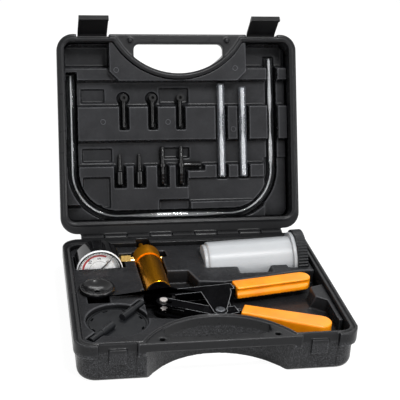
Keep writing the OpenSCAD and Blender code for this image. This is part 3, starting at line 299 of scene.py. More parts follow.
def tones(tree, value, first, second, start=0.35, end=0.65):
    """Blends two colours by a noise value."""
    node = tree.nodes.new("ShaderNodeValToRGB")
    node.color_ramp.elements[0].position = start
    node.color_ramp.elements[0].color = (*first, 1)
    node.color_ramp.elements[1].position = end
    node.color_ramp.elements[1].color = (*second, 1)
    tree.links.new(value, node.inputs["Fac"])
    return node.outputs["Color"]


def bumps(tree, bsdf, value, strength, depth):
    """Raises the surface by a noise value."""
    node = tree.nodes.new("ShaderNodeBump")
    node.inputs["Strength"].default_value = strength
    node.inputs["Distance"].default_value = depth
    tree.links.new(value, node.inputs["Height"])
    tree.links.new(node.outputs["Normal"], bsdf.inputs["Normal"])


def combined(tree, operation, first, second):
    """Joins two sockets by a sum, such as their product or the larger one."""
    node = tree.nodes.new("ShaderNodeMath")
    node.operation = operation
    tree.links.new(first, node.inputs[0])
    tree.links.new(second, node.inputs[1])
    return node.outputs["Value"]


def tinted(colour, factor):
    return tuple(min(1.0, c * factor) for c in colour)


def painted_shade_and_highlight(tree, colour, light):
    """Paints highlights on the convex edges of a colour and paints shade into its pockets."""
    point = tree.nodes.new("ShaderNodeNewGeometry").outputs["Pointiness"]
    occlusion = tree.nodes.new("ShaderNodeAmbientOcclusion")
    occlusion.samples = PAINTED_SHADE_SAMPLES
    occlusion.inputs["Distance"].default_value = PAINTED_SHADE_REACH
    shade = span(tree, occlusion.outputs["AO"], PAINTED_SHADE_DARK, 1.0, *PAINTED_SHADE_SKY)
    level = combined(tree, "MULTIPLY", shade, span(tree, point, 1.0, light, *HIGHLIGHT_POINT))
    scaled = tree.nodes.new("ShaderNodeVectorMath")
    scaled.operation = "SCALE"
    tree.links.new(colour, scaled.inputs[0])
    tree.links.new(level, scaled.inputs["Scale"])
    return scaled.outputs["Vector"]


def moulded_plastic(name, colour, rough, grain, strength, depth, gloss=0.26, light=1.0):
    """Dull plastic with a fine moulded grain and faint cloudiness, and where asked, painted highlights on
    its edges and painted shade in its pockets.
    """
    material, tree, bsdf, coords = shader(name)
    cloud_and_painted_light = tones(tree, noise(tree, coords, 38.0, 4.0), tinted(colour, 0.86), tinted(colour, 1.18))
    if light > 1:
        cloud_and_painted_light = painted_shade_and_highlight(tree, cloud_and_painted_light, light)
    tree.links.new(cloud_and_painted_light, bsdf.inputs["Base Color"])
    tree.links.new(span(tree, noise(tree, coords, 120.0, 3.0), *rough), bsdf.inputs["Roughness"])
    bsdf.inputs["Specular IOR Level"].default_value = gloss
    bumps(tree, bsdf, noise(tree, coords, grain, 2.0), strength, depth)
    return material


def grained_plastic(name, colour, speck, rough, gloss, outward, start):
    """Plastic with a leathery grain past a plane, on the outside of a half of the case, with painted
    highlights on its edges and painted shade in its pockets.
    """
    material, tree, bsdf, coords = shader(name)
    along = tree.nodes.new("ShaderNodeVectorMath")
    along.operation = "DOT_PRODUCT"
    along.inputs[1].default_value = outward
    tree.links.new(coords, along.inputs[0])
    outside = span(tree, along.outputs["Value"], 0.0, 1.0, start, start + GRAIN_FADE)
    grain = span(tree, noise(tree, coords, GRAIN_SCALE, 2.0), 0.0, 1.0, *GRAIN_NOISE)
    height = combined(tree, "MULTIPLY", outside, grain)
    specked = tones(tree, height, colour, speck, 0.0, 1.0)
    tree.links.new(painted_shade_and_highlight(tree, specked, SHELL_HIGHLIGHT), bsdf.inputs["Base Color"])
    tree.links.new(span(tree, noise(tree, coords, 120.0, 3.0), *rough), bsdf.inputs["Roughness"])
    bsdf.inputs["Specular IOR Level"].default_value = gloss
    bumps(tree, bsdf, height, 0.6, 0.0004)
    return material


def metal(name, colour, rough, stretch, grain=600.0, strength=0.06, shade=0.94):
    """Bright metal with fine lines along one axis."""
    material, tree, bsdf, coords = shader(name)
    lines = noise(tree, coords, grain, 3.0, stretch)
    tree.links.new(tones(tree, lines, tinted(colour, shade), colour), bsdf.inputs["Base Color"])
    tree.links.new(span(tree, lines, *rough), bsdf.inputs["Roughness"])
    bsdf.inputs["Metallic"].default_value = 1.0
    bumps(tree, bsdf, lines, strength, 0.0001)
    return material


def painted(name, colour, rough=(0.22, 0.34), gloss=0.5):
    """Paint with a faint orange peel."""
    material, tree, bsdf, coords = shader(name)
    peel = noise(tree, coords, 420.0, 2.0)
    tree.links.new(tones(tree, peel, tinted(colour, 0.9), tinted(colour, 1.12)), bsdf.inputs["Base Color"])
    tree.links.new(span(tree, noise(tree, coords, 60.0, 3.0), *rough), bsdf.inputs["Roughness"])
    bsdf.inputs["Specular IOR Level"].default_value = gloss
    bumps(tree, bsdf, peel, 0.04, 0.0001)
    return material


def milky_plastic(name, colour):
    """Thin milky plastic that lets some light through."""
    material, tree, bsdf, coords = shader(name)
    haze_and_glint = noise(tree, coords, 55.0, 4.0)
    tree.links.new(tones(tree, haze_and_glint, tinted(colour, 0.975), colour), bsdf.inputs["Base Color"])
    tree.links.new(span(tree, noise(tree, coords, 200.0, 2.0), 0.3, 0.34), bsdf.inputs["Roughness"])
    bsdf.inputs["Specular IOR Level"].default_value = 0.3
    bsdf.inputs["Alpha"].default_value = 0.5
    return material


def window(name, tint, alpha, rough=(0.01, 0.06)):
    """Thin clear plastic that light passes straight through."""
    material, tree, bsdf, coords = shader(name)
    smear = noise(tree, coords, 70.0, 3.0)
    tree.links.new(tones(tree, smear, tinted(tint, 0.96), tint), bsdf.inputs["Base Color"])
    tree.links.new(span(tree, smear, *rough), bsdf.inputs["Roughness"])
    bsdf.inputs["Specular IOR Level"].default_value = 1.0
    bsdf.inputs["Coat Weight"].default_value = 1.0
    bsdf.inputs["Alpha"].default_value = alpha
    return material


MATERIALS = {}


def make_materials():
    k, p, q = case(), pump(), parts()
    speck = tinted(k.plastic, 6)
    lid_start = OUTWARD.dot(LID_RIM.translation) + LID_GRAIN_IN
    MATERIALS.update({
        # Shells and tray carry painted shade in their pockets and painted highlights on their edges
        "base shell": grained_plastic("base shell plastic", k.plastic, speck, (0.26, 0.34), 0.17,
                                      (0, 0, -1), GRAIN_START),
        "lid shell": grained_plastic("lid shell plastic", k.plastic, speck, (0.26, 0.34), 0.13,
                                     OUTWARD, lid_start),
        "tray": moulded_plastic("tray plastic", tinted(k.plastic, 2.1), (0.24, 0.3), 700.0, 0.1, 0.0002, 0.1,
                                TRAY_HIGHLIGHT),
        "latch": moulded_plastic("latch plastic", k.latch, (0.36, 0.46), 800.0, 0.08, 0.0002),
        "steel": metal("plain steel", (0.56, 0.57, 0.59), (0.25, 0.38), (1, 0.05, 1)),
        "gold": metal("gold anodising", p.gold, (0.21, 0.24), (1, 0.04, 1), 260.0, 0.0, 0.985),
        "collar": metal("turned gold anodising", tinted(p.gold, 0.78), (0.36, 0.44), (0.05, 1, 0.05), 900.0),
        "brass": metal("brass", p.brass, (0.16, 0.24), (1, 1, 0.2), 500.0, 0.05, 0.8),
        "black paint": painted("black paint", (0.0022, 0.0022, 0.0026), (0.14, 0.2), 0.08),
        "nylon": moulded_plastic("black nylon", (0.0032, 0.0032, 0.0036), (0.2, 0.26), 900.0, 0.04, 0.0001,
                                 0.3),
        "grip": moulded_plastic("orange grip", p.grip, (0.3, 0.4), 1200.0, 0.04, 0.0001, 0.5),
        "chrome": metal("polished steel", (0.86, 0.80, 0.77), (0.28, 0.36), (1, 1, 1), 300.0, 0.03),
        # A pale paint that is a painted highlight along the plates' edges
        "rubbed edge": painted("rubbed edge", (0.25, 0.255, 0.265), (0.4, 0.5), 0.3),
        "zinc": painted("bright zinc", (0.7, 0.65, 0.63), (0.3, 0.4)),
        "rivet": metal("dark rivet", (0.13, 0.135, 0.145), (0.24, 0.34), (1, 1, 1), 300.0, 0.03),
        "rubber": moulded_plastic("seal rubber", (0.016, 0.016, 0.016), (0.55, 0.7), 900.0, 0.1, 0.0002),
        "gauge": painted("gauge black", (0.004, 0.004, 0.0045), (0.08, 0.14)),
        "bezel": painted("bezel ring", (0.74, 0.75, 0.76), (0.12, 0.2)),
        "lens": window("gauge lens", (0.9, 0.92, 0.92), 0.03),
        "dial": painted("dial white", (0.92, 0.92, 0.91), (0.4, 0.5)),
        "dial black": painted("dial black", (0.008, 0.008, 0.008), (0.4, 0.5)),
        "dial red": painted("dial red", p.arc, (0.4, 0.5)),
        "jar": milky_plastic("milky jar", q.milky),
        "cap": moulded_plastic("cap plastic", q.cap, (0.34, 0.44), 900.0, 0.1, 0.0002, 0.16),
        # A pale paint for the painted glints inside hose and tubes
        "haze_and_glint": painted("hazy bore", (0.82, 0.84, 0.86), (0.3, 0.4)),
        "hose": window("clear hose", q.hose, 0.19, (0.04, 0.06)),
        "tube": window("clear tube", tinted(q.hose, 7), 0.22, (0.04, 0.06)),
    })


# Shapes
def copied(*nodes):
    """One bmesh of the nodes' own solids, with their doubles merged."""
    bm = bmesh.new()
    for node in nodes:
        bm.from_mesh(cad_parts[node].data)
    bmesh.ops.remove_doubles(bm, verts=bm.verts, dist=2e-6)
    return bm


def moved(bm, matrix):
    bmesh.ops.transform(bm, matrix=matrix, verts=bm.verts)
    if matrix.determinant() < 0:
        bmesh.ops.reverse_faces(bm, faces=bm.faces)
    return bm


def spun(profile, steps=72, closed=False):
    """Turns a profile of (radius, height) pairs, in millimetres, about Z."""
    bm = bmesh.new()
    verts = [bm.verts.new((r * 0.001, 0, z * 0.001)) for r, z in profile]
    pairs = list(zip(verts, verts[1:]))
    if closed:
        pairs.append((verts[-1], verts[0]))
    edges = [bm.edges.new(pair) for pair in pairs]
    bmesh.ops.spin(bm, geom=verts + edges, cent=(0, 0, 0), axis=(0, 0, 1), dvec=(0, 0, 0),
                   angle=math.tau, steps=steps, use_merge=True)
    bmesh.ops.remove_doubles(bm, verts=bm.verts, dist=1e-6)
    bmesh.ops.dissolve_degenerate(bm, dist=1e-7, edges=bm.edges)
    bmesh.ops.recalc_face_normals(bm, faces=bm.faces)
    return bm


def slab(points, height):
    """An outline in millimetres raised by a height along Z."""
    bm = bmesh.new()
    face = bm.faces.new([bm.verts.new((x * 0.001, y * 0.001, 0)) for x, y in points])
    raised = bmesh.ops.extrude_face_region(bm, geom=[face])["geom"]
    top = [v for v in raised if isinstance(v, bmesh.types.BMVert)]
    bmesh.ops.translate(bm, verts=top, vec=(0, 0, height * 0.001))
    bmesh.ops.recalc_face_normals(bm, faces=bm.faces)
    return bm


def softened(bm, width, segments=2):
    """Rounds the sharp edges. The width is in millimetres."""
    bmesh.ops.dissolve_limit(bm, angle_limit=math.radians(1.0), verts=bm.verts, edges=bm.edges)
    limit = math.radians(ROUND_ANGLE)
    sharp = [e for e in bm.edges if len(e.link_faces) == 2 and e.calc_face_angle(0.0) > limit]
    bmesh.ops.bevel(bm, geom=sharp, offset=width * 0.001, offset_type="OFFSET", segments=segments,
                    profile=0.5, affect="EDGES", clamp_overlap=True, material=-1)
    return bm


def joined(*shapes):
    """One bmesh of several."""
    result = shapes[0]
    for shape in shapes[1:]:
        spare = bpy.data.meshes.new("spare")
        shape.to_mesh(spare)
        shape.free()
        result.from_mesh(spare)
        bpy.data.meshes.remove(spare)
    return result


def harvested(holder):
    """The final bmesh of an object, which is removed."""
    graph = bpy.context.evaluated_depsgraph_get()
    shaped = bpy.data.meshes.new_from_object(holder.evaluated_get(graph))
    bpy.data.objects.remove(holder)
    result = bmesh.new()
    result.from_mesh(shaped)
    bpy.data.meshes.remove(shaped)
    return result


def evaluated(name, bm, *modifiers):
    """The bmesh after a row of modifiers, each a kind and its settings."""
    mesh = bpy.data.meshes.new(name)
    bm.to_mesh(mesh)
    bm.free()
    holder = bpy.data.objects.new(name, mesh)
    bpy.context.collection.objects.link(holder)
    for kind, settings in modifiers:
        modifier = holder.modifiers.new(kind.title(), kind)
        for key, value in settings.items():
            setattr(modifier, key, value)
    result = harvested(holder)
    bpy.data.meshes.remove(mesh)
    return result


def blown(name, bm, grid, rounds, keep):
    """A soft-edged skin over the solid, as blow moulding gives."""
    return evaluated(name, bm,
                     ("REMESH", {"mode": "VOXEL", "voxel_size": grid}),
                     ("SMOOTH", {"factor": 0.5, "iterations": rounds}),
                     ("DECIMATE", {"ratio": keep}))


def placed(name, bm, material, body, slot, *nodes, sharp=SHARP_ANGLE):
    """A finished piece that rides on a body and stands for its nodes."""
    mesh = bpy.data.meshes.new(name)
    bm.to_mesh(mesh)
    bm.free()
    mesh.materials.append(MATERIALS[material])
    mesh.shade_smooth()
    mesh.set_sharp_from_angle(angle=math.radians(sharp))
    piece = bpy.data.objects.new(name, mesh)
    bpy.context.collection.objects.link(piece)
    if sharp < SKIN_ANGLE:
        even = piece.modifiers.new("Even shading", "WEIGHTED_NORMAL")
        even.keep_sharp = True
    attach(piece, body)
    if nodes:
        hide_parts(*nodes)
    return piece


def rounded(name, node, width, material, body, slot, segments=2):
    """A piece of a node's own shape with rounded edges. The width is in millimetres."""
    return placed(name, softened(copied(node), width, segments), material, body, slot, node)


def dressed(material, *nodes):
    """Gives CAD nodes that keep their shape a better material."""
    for node in nodes:
        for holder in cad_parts[node].material_slots:
            holder.material = MATERIALS[material]


class PUMPKIT_OT_case(bpy.types.Operator):
    """Moulds both halves of the case and their trays"""
    bl_idname = "pump_kit.case"
    bl_label = "Case"

    def execute(self, context):
        k = case()
        still = Matrix.Identity(4)
        rows = (
            ("case_base_moulding", "base_shell", "base shell", "case_base", "case_plastic", still,
             SHELL_KEEP),
            ("case_lid_moulding", "lid_shell", "lid shell", "lid", "case_plastic", LID, SHELL_KEEP),
            ("base_tray_moulding", "base_tray", "tray", "case_base", "tray_plastic", still, TRAY_KEEP),
            ("lid_tray_moulding", "lid_tray", "tray", "lid", "tray_plastic", LID, TRAY_KEEP))
        for name, node, material, body, slot, pose, keep in rows:
            solid = moved(copied(node), pose.inverted())
            skin = moved(blown(name, solid, k.skin, k.rounds, keep), pose)
            placed(name, skin, material, body, slot, node, sharp=SKIN_ANGLE)
        dressed("black paint", "hinge_pin", "latch_pin_left", "latch_pin_right")
        return {"FINISHED"}


class PUMPKIT_OT_marks(bpy.types.Operator):
    """Raises the small round marks that the mould's pins leave on the lid's tray"""
    bl_idname = "pump_kit.marks"
    bl_label = "Mould marks"

    def execute(self, context):
        discs = []
        for x, v, depth in MOULD_MARKS:
            spot = Matrix.Translation((x * 0.001, -v * 0.001, depth * 0.001))
            facing = spot @ Matrix.Rotation(math.pi, 4, "X")
            discs.append(moved(spun(MARK_DISC, 32), LID_RIM @ facing))
        placed("lid_mould_marks", joined(*discs), "tray", "lid", "tray_plastic")
        return {"FINISHED"}


class PUMPKIT_OT_latches(bpy.types.Operator):
    """Rounds the two latches"""
    bl_idname = "pump_kit.latches"
    bl_label = "Latches"

    def execute(self, context):
        for side in ("left", "right"):
            node = f"latch_{side}"
            rounded(f"{node}_plate", node, 0.7, "latch", node, "latch_plastic", 3)
        return {"FINISHED"}


class PUMPKIT_OT_barrel(bpy.types.Operator):
    """Turns the barrel, its collar and their fittings"""
    bl_idname = "pump_kit.barrel"
    bl_label = "Barrel"

    def execute(self, context):
        r = pump().barrel_radius * 1000
        tube = spun([(BARREL_BORE, 0), (r - BARREL_EDGE, 0), (r, BARREL_EDGE), (r, BARREL_LENGTH),
                     (BARREL_BORE, BARREL_LENGTH)], FINE_STEPS, True)
        placed("barrel_tube", moved(tube, BARREL), "gold", "case_base", "gold_anodised", "barrel")
        rounded("rear_collar_cap", "rear_collar", 0.3, "collar", "case_base", "gold_anodised")
        rounded("nipple", "hose_nipple", 0.12, "collar", "case_base", "brass")
        rounded("gauge_elbow", "gauge_fitting", 0.35, "brass", "case_base", "brass")
        dressed("brass", "vent_screw")
        dressed("nylon", "front_bush", "piston")
        dressed("rubber", "piston_ring", "inlet_valve", "outlet_valve")
        coil = placed("return_coil", copied("return_spring"), "steel", "case_base", "plain_steel",
                      "return_spring")
        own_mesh(coil)
        return {"FINISHED"}


class PUMPKIT_OT_handles(bpy.types.Operator):
    """Shapes the frame, the lever, the rod and their pins"""
    bl_idname = "pump_kit.handles"
    bl_label = "Handles"

    @staticmethod
    def highlight_rim(bm):
        """Marks a thin rim on the upper faces of a plate, past the head, which takes a pale paint as a
        painted highlight.
        """
        bm.normal_update()
        upper = [f for f in bm.faces if f.normal.z > UPPER_RISE]
        rim = bmesh.ops.inset_region(bm, faces=upper, thickness=HIGHLIGHT_RIM_WIDTH, depth=0, use_even_offset=True,
                                     use_boundary=True)["faces"]
        for face in rim:
            if face.calc_center_median().x > HEAD_END:
                face.material_index = 1
        return bm

    def execute(self, context):
        for name, node, body in (("frame_sheet", "handle_frame", "case_base"),
                                 ("lever_sheet", "lever", "lever")):
            sheet = self.highlight_rim(softened(copied(node), 0.4))
            plate = placed(name, sheet, "black paint", body, "black_steel", node)
            # The rim takes the pale paint, a painted highlight along the edges
            plate.data.materials.append(MATERIALS["rubbed edge"])
        rounded("head_screw_pair", "head_screws", 0.2, "black paint", "case_base", "black_steel")
        rounded("rod", "piston_rod", 0.3, "black paint", "plunger", "plain_steel")
        rounded("rod_bolt", "rod_pin", 0.35, "chrome", "plunger", "bright_steel")
        turn = math.pi / STAR_LOBES
        star = slab([(r * math.cos(turn * i), r * math.sin(turn * i))
                     for i, r in enumerate(STAR_RADII * STAR_LOBES)], STAR_HEIGHT)
        front = STAR_PLACE @ TO_FRONT
        placed("lobed_screw", moved(softened(star, 0.3, 3), front), "zinc", "plunger", "bright_steel")
        rounded("rivet", "pivot_rivet", 0.4, "rivet", "case_base", "black_steel", 3)
        return {"FINISHED"}


class PUMPKIT_OT_grips(bpy.types.Operator):
    """Moulds the two orange grips"""
    bl_idname = "pump_kit.grips"
    bl_label = "Grips"

    def execute(self, context):
        for name, node, body in (("fixed_grip_sleeve", "fixed_grip", "case_base"),
                                 ("lever_grip_sleeve", "lever_grip", "lever")):
            sleeve = blown(name, copied(node), GRIP_SKIN, GRIP_ROUNDS, GRIP_KEEP)
            placed(name, sleeve, "grip", body, "orange_grip", node, sharp=SKIN_ANGLE)
        return {"FINISHED"}


class PUMPKIT_OT_gauge(bpy.types.Operator):
    """Builds the gauge's case, lens, dial and needle"""
    bl_idname = "pump_kit.gauge"
    bl_label = "Gauge"

    def execute(self, context):
        body = moved(spun(GAUGE_SHELL), GAUGE)
        placed("gauge_shell", body, "gauge", "case_base", "gauge_black", "gauge_case")
        rim = moved(spun(GAUGE_RIM, FINE_STEPS, True), GAUGE)
        placed("gauge_rim", rim, "bezel", "case_base", "gauge_black", "gauge_bezel")
        seat = moved(spun(LENS_SEAT, FINE_STEPS, True), GAUGE)
        placed("gauge_lens_seat", seat, "gauge", "case_base", "gauge_black")
        glass = moved(spun(LENS), GAUGE)
        placed("gauge_window", glass, "lens", "case_base", "gauge_glass", "gauge_lens")
        dressed("dial", "gauge_dial")
        dressed("dial black", "gauge_needle")
        dressed("brass", "gauge_movement", "bourdon_tube")
        return {"FINISHED"}


class PUMPKIT_OT_dial(bpy.types.Operator):
    """Prints the ticks, the arc and the plain figures on the dial"""
    bl_idname = "pump_kit.dial"
    bl_label = "Dial"

    @staticmethod
    def ring_part(inner, outer, start, sweep, steps):
        """A flat piece of a ring, its angles from the dial's right, in degrees."""
        bm = bmesh.new()
        a = math.radians(start)
        ends = [bm.verts.new((r * 0.001 * math.cos(a), r * 0.001 * math.sin(a), 0)) for r in (inner, outer)]
        edge = bm.edges.new(ends)
        bmesh.ops.spin(bm, geom=ends + [edge], cent=(0, 0, 0), axis=(0, 0, 1), dvec=(0, 0, 0),
                       angle=math.radians(sweep), steps=steps)
        return bm

    @staticmethod
    def figure(text, angle):
        """A plain figure as flat faces, at an angle of the dial."""
        curve = bpy.data.curves.new("figure", "FONT")
        curve.body = text
        curve.size = FIGURE_SIZE * 0.001
        curve.offset = FIGURE_WEIGHT
        curve.align_x = "CENTER"
        curve.align_y = "CENTER"
        holder = bpy.data.objects.new("figure", curve)
        bpy.context.collection.objects.link(holder)
        a = math.radians(angle)
        spot = (FIGURE_RADIUS * 0.001 * math.cos(a), FIGURE_RADIUS * 0.001 * math.sin(a), 0)
        upright = Matrix.Rotation(math.radians(90), 4, "Z")
        return moved(harvested(holder), Matrix.Translation(spot) @ upright)

    def execute(self, context):
        marks = [self.ring_part(*SCALE_RING, 0, 360, FINE_STEPS)]
        for i in range(TICKS + 1):
            inner, width = SHORT_TICK if i % FIGURE_STEP else LONG_TICK
            angle = SCALE_START + SCALE_SWEEP / TICKS * i
            marks.append(self.ring_part(inner, TICK_OUTER, angle - width / 2, width, 1))
        for i in range(FIGURES + 1):
            marks.append(self.figure(str(FIGURE_STEP * i), SCALE_START + SCALE_SWEEP / FIGURES * i))
        marks.append(self.ring_part(*INNER_RING, SCALE_START, SCALE_SWEEP, 72))
        placed("dial_marks", moved(joined(*marks), DIAL_FACE), "dial black", "case_base", "dial_white")
        arc = self.ring_part(*RED_ARC, 80)
        placed("dial_arc", moved(arc, DIAL_FACE), "dial red", "case_base", "dial_white")
        return {"FINISHED"}


class PUMPKIT_OT_jar(bpy.types.Operator):
    """Moulds the jar and its ribbed cap"""
    bl_idname = "pump_kit.jar"
    bl_label = "Jar"

    def execute(self, context):
        placed("jar_wall", moved(spun(JAR_WALL, FINE_STEPS), JAR), "jar", "case_base", "jar_plastic", "jar")
        rounded("jar_cap_ribs", "jar_cap", 0.35, "cap", "jar_cap", "cap_plastic")
        dressed("rubber", "cap_liner")
        return {"FINISHED"}


class PUMPKIT_OT_loose(bpy.types.Operator):
    """Shapes the transfer lid and the cup adapter"""
    bl_idname = "pump_kit.loose"
    bl_label = "Loose pieces"

    def execute(self, context):
        rounded("transfer_lid_moulding", "transfer_lid", 0.4, "cap", "case_base", "cap_plastic")
        cup = spun(CUP_WALL, closed=True)
        placed("cup_moulding", moved(cup, CUP), "nylon", "case_base", "black_nylon", "cup_adapter")
        dressed("rubber", "transfer_liner")
        return {"FINISHED"}


class PUMPKIT_OT_hose(bpy.types.Operator):
    """Lays the hose and the short tubes in the lid, with pale rods inside them as painted glints"""
    bl_idname = "pump_kit.hose"
    bl_label = "Hose"

    @staticmethod
    def swept(radius, bore, start, runs):
        """A tube in the shut lid. Each run is a straight length or a quarter turn about a centre."""
        bm = bmesh.new()
        for r in (radius, bore):
            bmesh.ops.create_circle(bm, segments=24, radius=r, matrix=start)
        first = list(bm.edges)
        ends = first
        for kind, value in runs:
            if kind == "turn":
                made = bmesh.ops.spin(bm, geom=ends, cent=value, axis=(0, 0, 1), dvec=(0, 0, 0),
                                      angle=-math.pi / 2, steps=20)["geom_last"]
            else:
                made = bmesh.ops.extrude_edge_only(bm, edges=ends)["geom"]
                verts = [g for g in made if isinstance(g, bmesh.types.BMVert)]
                bmesh.ops.translate(bm, vec=value, verts=verts)
            ends = [g for g in made if isinstance(g, bmesh.types.BMEdge)]
        for ring in (first, ends):
            bmesh.ops.bridge_loops(bm, edges=ring)
        bmesh.ops.recalc_face_normals(bm, faces=bm.faces)
        return bm

    def execute(self, context):
        r = parts().hose_radius
        bends = HOSE_LOW - HOSE_BEND
        start = Matrix.Translation(RIM + Vector((HOSE_LEFT, HOSE_LEFT_END, HOSE_DEPTH))) @ TO_FRONT
        route = (("run", (0, bends - HOSE_LEFT_END, 0)),
                 ("turn", RIM + Vector((HOSE_LEFT + HOSE_BEND, bends, HOSE_DEPTH))),
                 ("run", (HOSE_RIGHT - HOSE_LEFT - 2 * HOSE_BEND, 0, 0)),
                 ("turn", RIM + Vector((HOSE_RIGHT - HOSE_BEND, bends, HOSE_DEPTH))),
                 ("run", (0, HOSE_RIGHT_END - bends, 0)))
        hose = self.swept(r, HOSE_BORE, start, route)
        placed("hose_run", moved(hose, LID), "hose", "lid", "clear_hose", "long_hose")
        # The pale cores and rods inside the hose are painted glints
        glint_core = self.swept(*GLINT_CORE, start, route)
        placed("hose_bore", moved(glint_core, LID), "haze_and_glint", "lid", "clear_hose")
        middle = Matrix.Translation(RIM + Vector((0, HOSE_LOW, HOSE_DEPTH)))
        low = moved(spun(LOW_GLINT, GLINT_STEPS), LID @ middle @ Matrix.Rotation(math.radians(90), 4, "Y"))
        placed("hose_bore_low", low, "haze_and_glint", "lid", "clear_hose")
        end = Matrix.Translation(RIM + Vector((HOSE_RIGHT, HOSE_RIGHT_END, HOSE_DEPTH)))
        right = moved(spun(RIGHT_GLINT, GLINT_STEPS), LID @ end @ ALONG_Y)
        placed("hose_bore_right", right, "haze_and_glint", "lid", "clear_hose")
        for side, x, far in TUBES:
            start = Matrix.Translation(RIM + Vector((x, -far, TUBE_DEPTH)))
            length = far - TUBE_NEAR
            tube = self.swept(r, HOSE_BORE, start @ TO_FRONT, (("run", (0, length, 0)),))
            placed(f"tube_{side}", moved(tube, LID), "tube", "lid", "clear_hose", f"short_tube_{side}")
            # The tube's pale core is a painted glint
            glint_core = spun([(width, share * length * 1000) for width, share in TUBE_GLINT], GLINT_STEPS)
            placed(f"tube_bore_{side}", moved(glint_core, LID @ start @ ALONG_Y), "haze_and_glint", "lid", "clear_hose")
        return {"FINISHED"}


class PUMPKIT_OT_adapters(bpy.types.Operator):
    """Rounds the black adapters in the lid"""
    bl_idname = "pump_kit.adapters"
    bl_label = "Adapters"

    def execute(self, context):
        for node in ("elbow_left", "elbow_middle", "elbow_right", "cone_left", "cone_right",
                     "straight_connector", "tee_connector"):
            rounded(f"{node}_moulding", node, 0.25, "nylon", "lid", "black_nylon")
        return {"FINISHED"}


class PUMPKIT_OT_stage(bpy.types.Operator):
    """Sets the camera, the lamps and the pale floor"""
    bl_idname = "pump_kit.stage"
    bl_label = "Stage"

    @staticmethod
    def seen(tree):
        """One for camera, glossy and transmission rays, and nought for the light that falls on things."""
        rays = tree.nodes.new("ShaderNodeLightPath")
        total = rays.outputs["Is Camera Ray"]
        for kind in ("Is Glossy Ray", "Is Transmission Ray"):
            total = combined(tree, "MAXIMUM", total, rays.outputs[kind])
        return total

    @staticmethod
    def lamp(name, place, aim, size, watts):
        data = bpy.data.lights.new(name, "AREA")
        data.shape = "RECTANGLE"
        data.size, data.size_y = size
        data.energy = watts
        lamp = bpy.data.objects.new(name, data)
        lamp.location = place
        lamp.rotation_euler = (Vector(aim) - Vector(place)).to_track_quat("-Z", "Y").to_euler()
        bpy.context.collection.objects.link(lamp)

    @staticmethod
    def camera(scene):
        data = bpy.data.cameras.new("photo camera")
        data.lens = CAMERA_LENS
        data.sensor_width = CAMERA_SENSOR
        camera = bpy.data.objects.new("photo camera", data)
        turned = Matrix(CAMERA_AXES).transposed().to_4x4()
        camera.matrix_world = Matrix.Translation(CAMERA_PLACE) @ turned
        bpy.context.collection.objects.link(camera)
        scene.camera = camera

    def floor(self):
        bm = bmesh.new()
        bmesh.ops.create_grid(bm, x_segments=2, y_segments=2, size=FLOOR_SIZE)
        mesh = bpy.data.meshes.new("floor")
        bm.to_mesh(mesh)
        bm.free()
        material, tree, bsdf, _ = shader("pale floor")
        bsdf.inputs["Base Color"].default_value = (0.9, 0.9, 0.9, 1)
        bsdf.inputs["Roughness"].default_value = 0.9
        glow = tree.nodes.new("ShaderNodeEmission")
        mix = tree.nodes.new("ShaderNodeMixShader")
        glow.inputs["Strength"].default_value = FLOOR_GLOW
        share = tree.nodes.new("ShaderNodeMath")
        share.operation = "MULTIPLY"
        share.inputs[1].default_value = GLOW_SHARE
        tree.links.new(self.seen(tree), share.inputs[0])
        tree.links.new(share.outputs["Value"], mix.inputs["Fac"])
        tree.links.new(bsdf.outputs["BSDF"], mix.inputs[1])
        tree.links.new(glow.outputs["Emission"], mix.inputs[2])
        tree.links.new(mix.outputs["Shader"], tree.nodes["Material Output"].inputs["Surface"])
        mesh.materials.append(material)
        floor = bpy.data.objects.new("floor", mesh)
        bpy.context.collection.objects.link(floor)

    def world(self, scene):
        world = bpy.data.worlds.new("studio")
        world.use_nodes = True
        tree = world.node_tree
        sky = tree.nodes["Background"]
        sky.inputs["Color"].default_value = (1, 1, 1, 1)
        level = tree.nodes.new("ShaderNodeMapRange")
        level.inputs["To Min"].default_value = WORLD_LIGHT
        level.inputs["To Max"].default_value = 1.0
        tree.links.new(self.seen(tree), level.inputs["Value"])
        tree.links.new(level.outputs["Result"], sky.inputs["Strength"])
        scene.world = world

    def execute(self, context):
        scene = bpy.context.scene
        scene.view_settings.view_transform = "Standard"
        self.camera(scene)
        self.floor()
        self.world(scene)
        for lamp in LAMPS:
            self.lamp(*lamp)
        return {"FINISHED"}


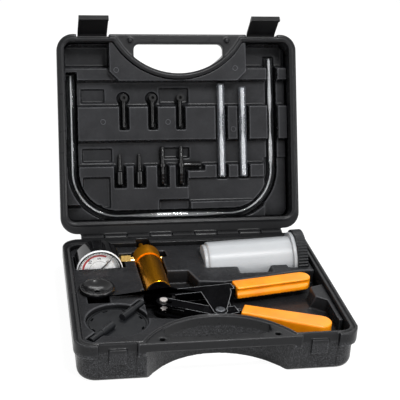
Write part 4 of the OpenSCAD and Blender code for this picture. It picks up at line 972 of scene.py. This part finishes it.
class PUMPKIT_PT_panel(bpy.types.Panel):
    """Lists the steps and the sizes"""
    bl_idname = "PUMPKIT_PT_panel"
    bl_label = "Pump Kit"
    bl_space_type = "VIEW_3D"
    bl_region_type = "UI"
    bl_category = "Pump Kit"

    def draw(self, context):
        scene = context.scene
        for group in (scene.pump_kit_case, scene.pump_kit_pump, scene.pump_kit_parts):
            box = self.layout.box()
            for key in group.__annotations__:
                box.prop(group, key)
        for step in STEPS:
            self.layout.operator(step.bl_idname)


STEPS = (PUMPKIT_OT_stage, PUMPKIT_OT_case, PUMPKIT_OT_marks, PUMPKIT_OT_latches, PUMPKIT_OT_barrel,
         PUMPKIT_OT_handles, PUMPKIT_OT_grips, PUMPKIT_OT_gauge, PUMPKIT_OT_dial, PUMPKIT_OT_jar,
         PUMPKIT_OT_loose, PUMPKIT_OT_hose, PUMPKIT_OT_adapters)
GROUPS = (PumpKitCase, PumpKitPump, PumpKitParts)


def register():
    for item in (*GROUPS, *STEPS, PUMPKIT_PT_panel):
        bpy.utils.register_class(item)
    bpy.types.Scene.pump_kit_case = bpy.props.PointerProperty(type=PumpKitCase)
    bpy.types.Scene.pump_kit_pump = bpy.props.PointerProperty(type=PumpKitPump)
    bpy.types.Scene.pump_kit_parts = bpy.props.PointerProperty(type=PumpKitParts)


def unregister():
    del bpy.types.Scene.pump_kit_parts
    del bpy.types.Scene.pump_kit_pump
    del bpy.types.Scene.pump_kit_case
    for item in reversed((*GROUPS, *STEPS, PUMPKIT_PT_panel)):
        bpy.utils.unregister_class(item)


def main():
    register()
    make_materials()
    bpy.ops.pump_kit.stage()
    bpy.ops.pump_kit.case()
    bpy.ops.pump_kit.marks()
    bpy.ops.pump_kit.latches()
    bpy.ops.pump_kit.barrel()
    bpy.ops.pump_kit.handles()
    bpy.ops.pump_kit.grips()
    bpy.ops.pump_kit.gauge()
    bpy.ops.pump_kit.dial()
    bpy.ops.pump_kit.jar()
    bpy.ops.pump_kit.loose()
    bpy.ops.pump_kit.hose()
    bpy.ops.pump_kit.adapters()


if __name__ == "__main__":
    main()
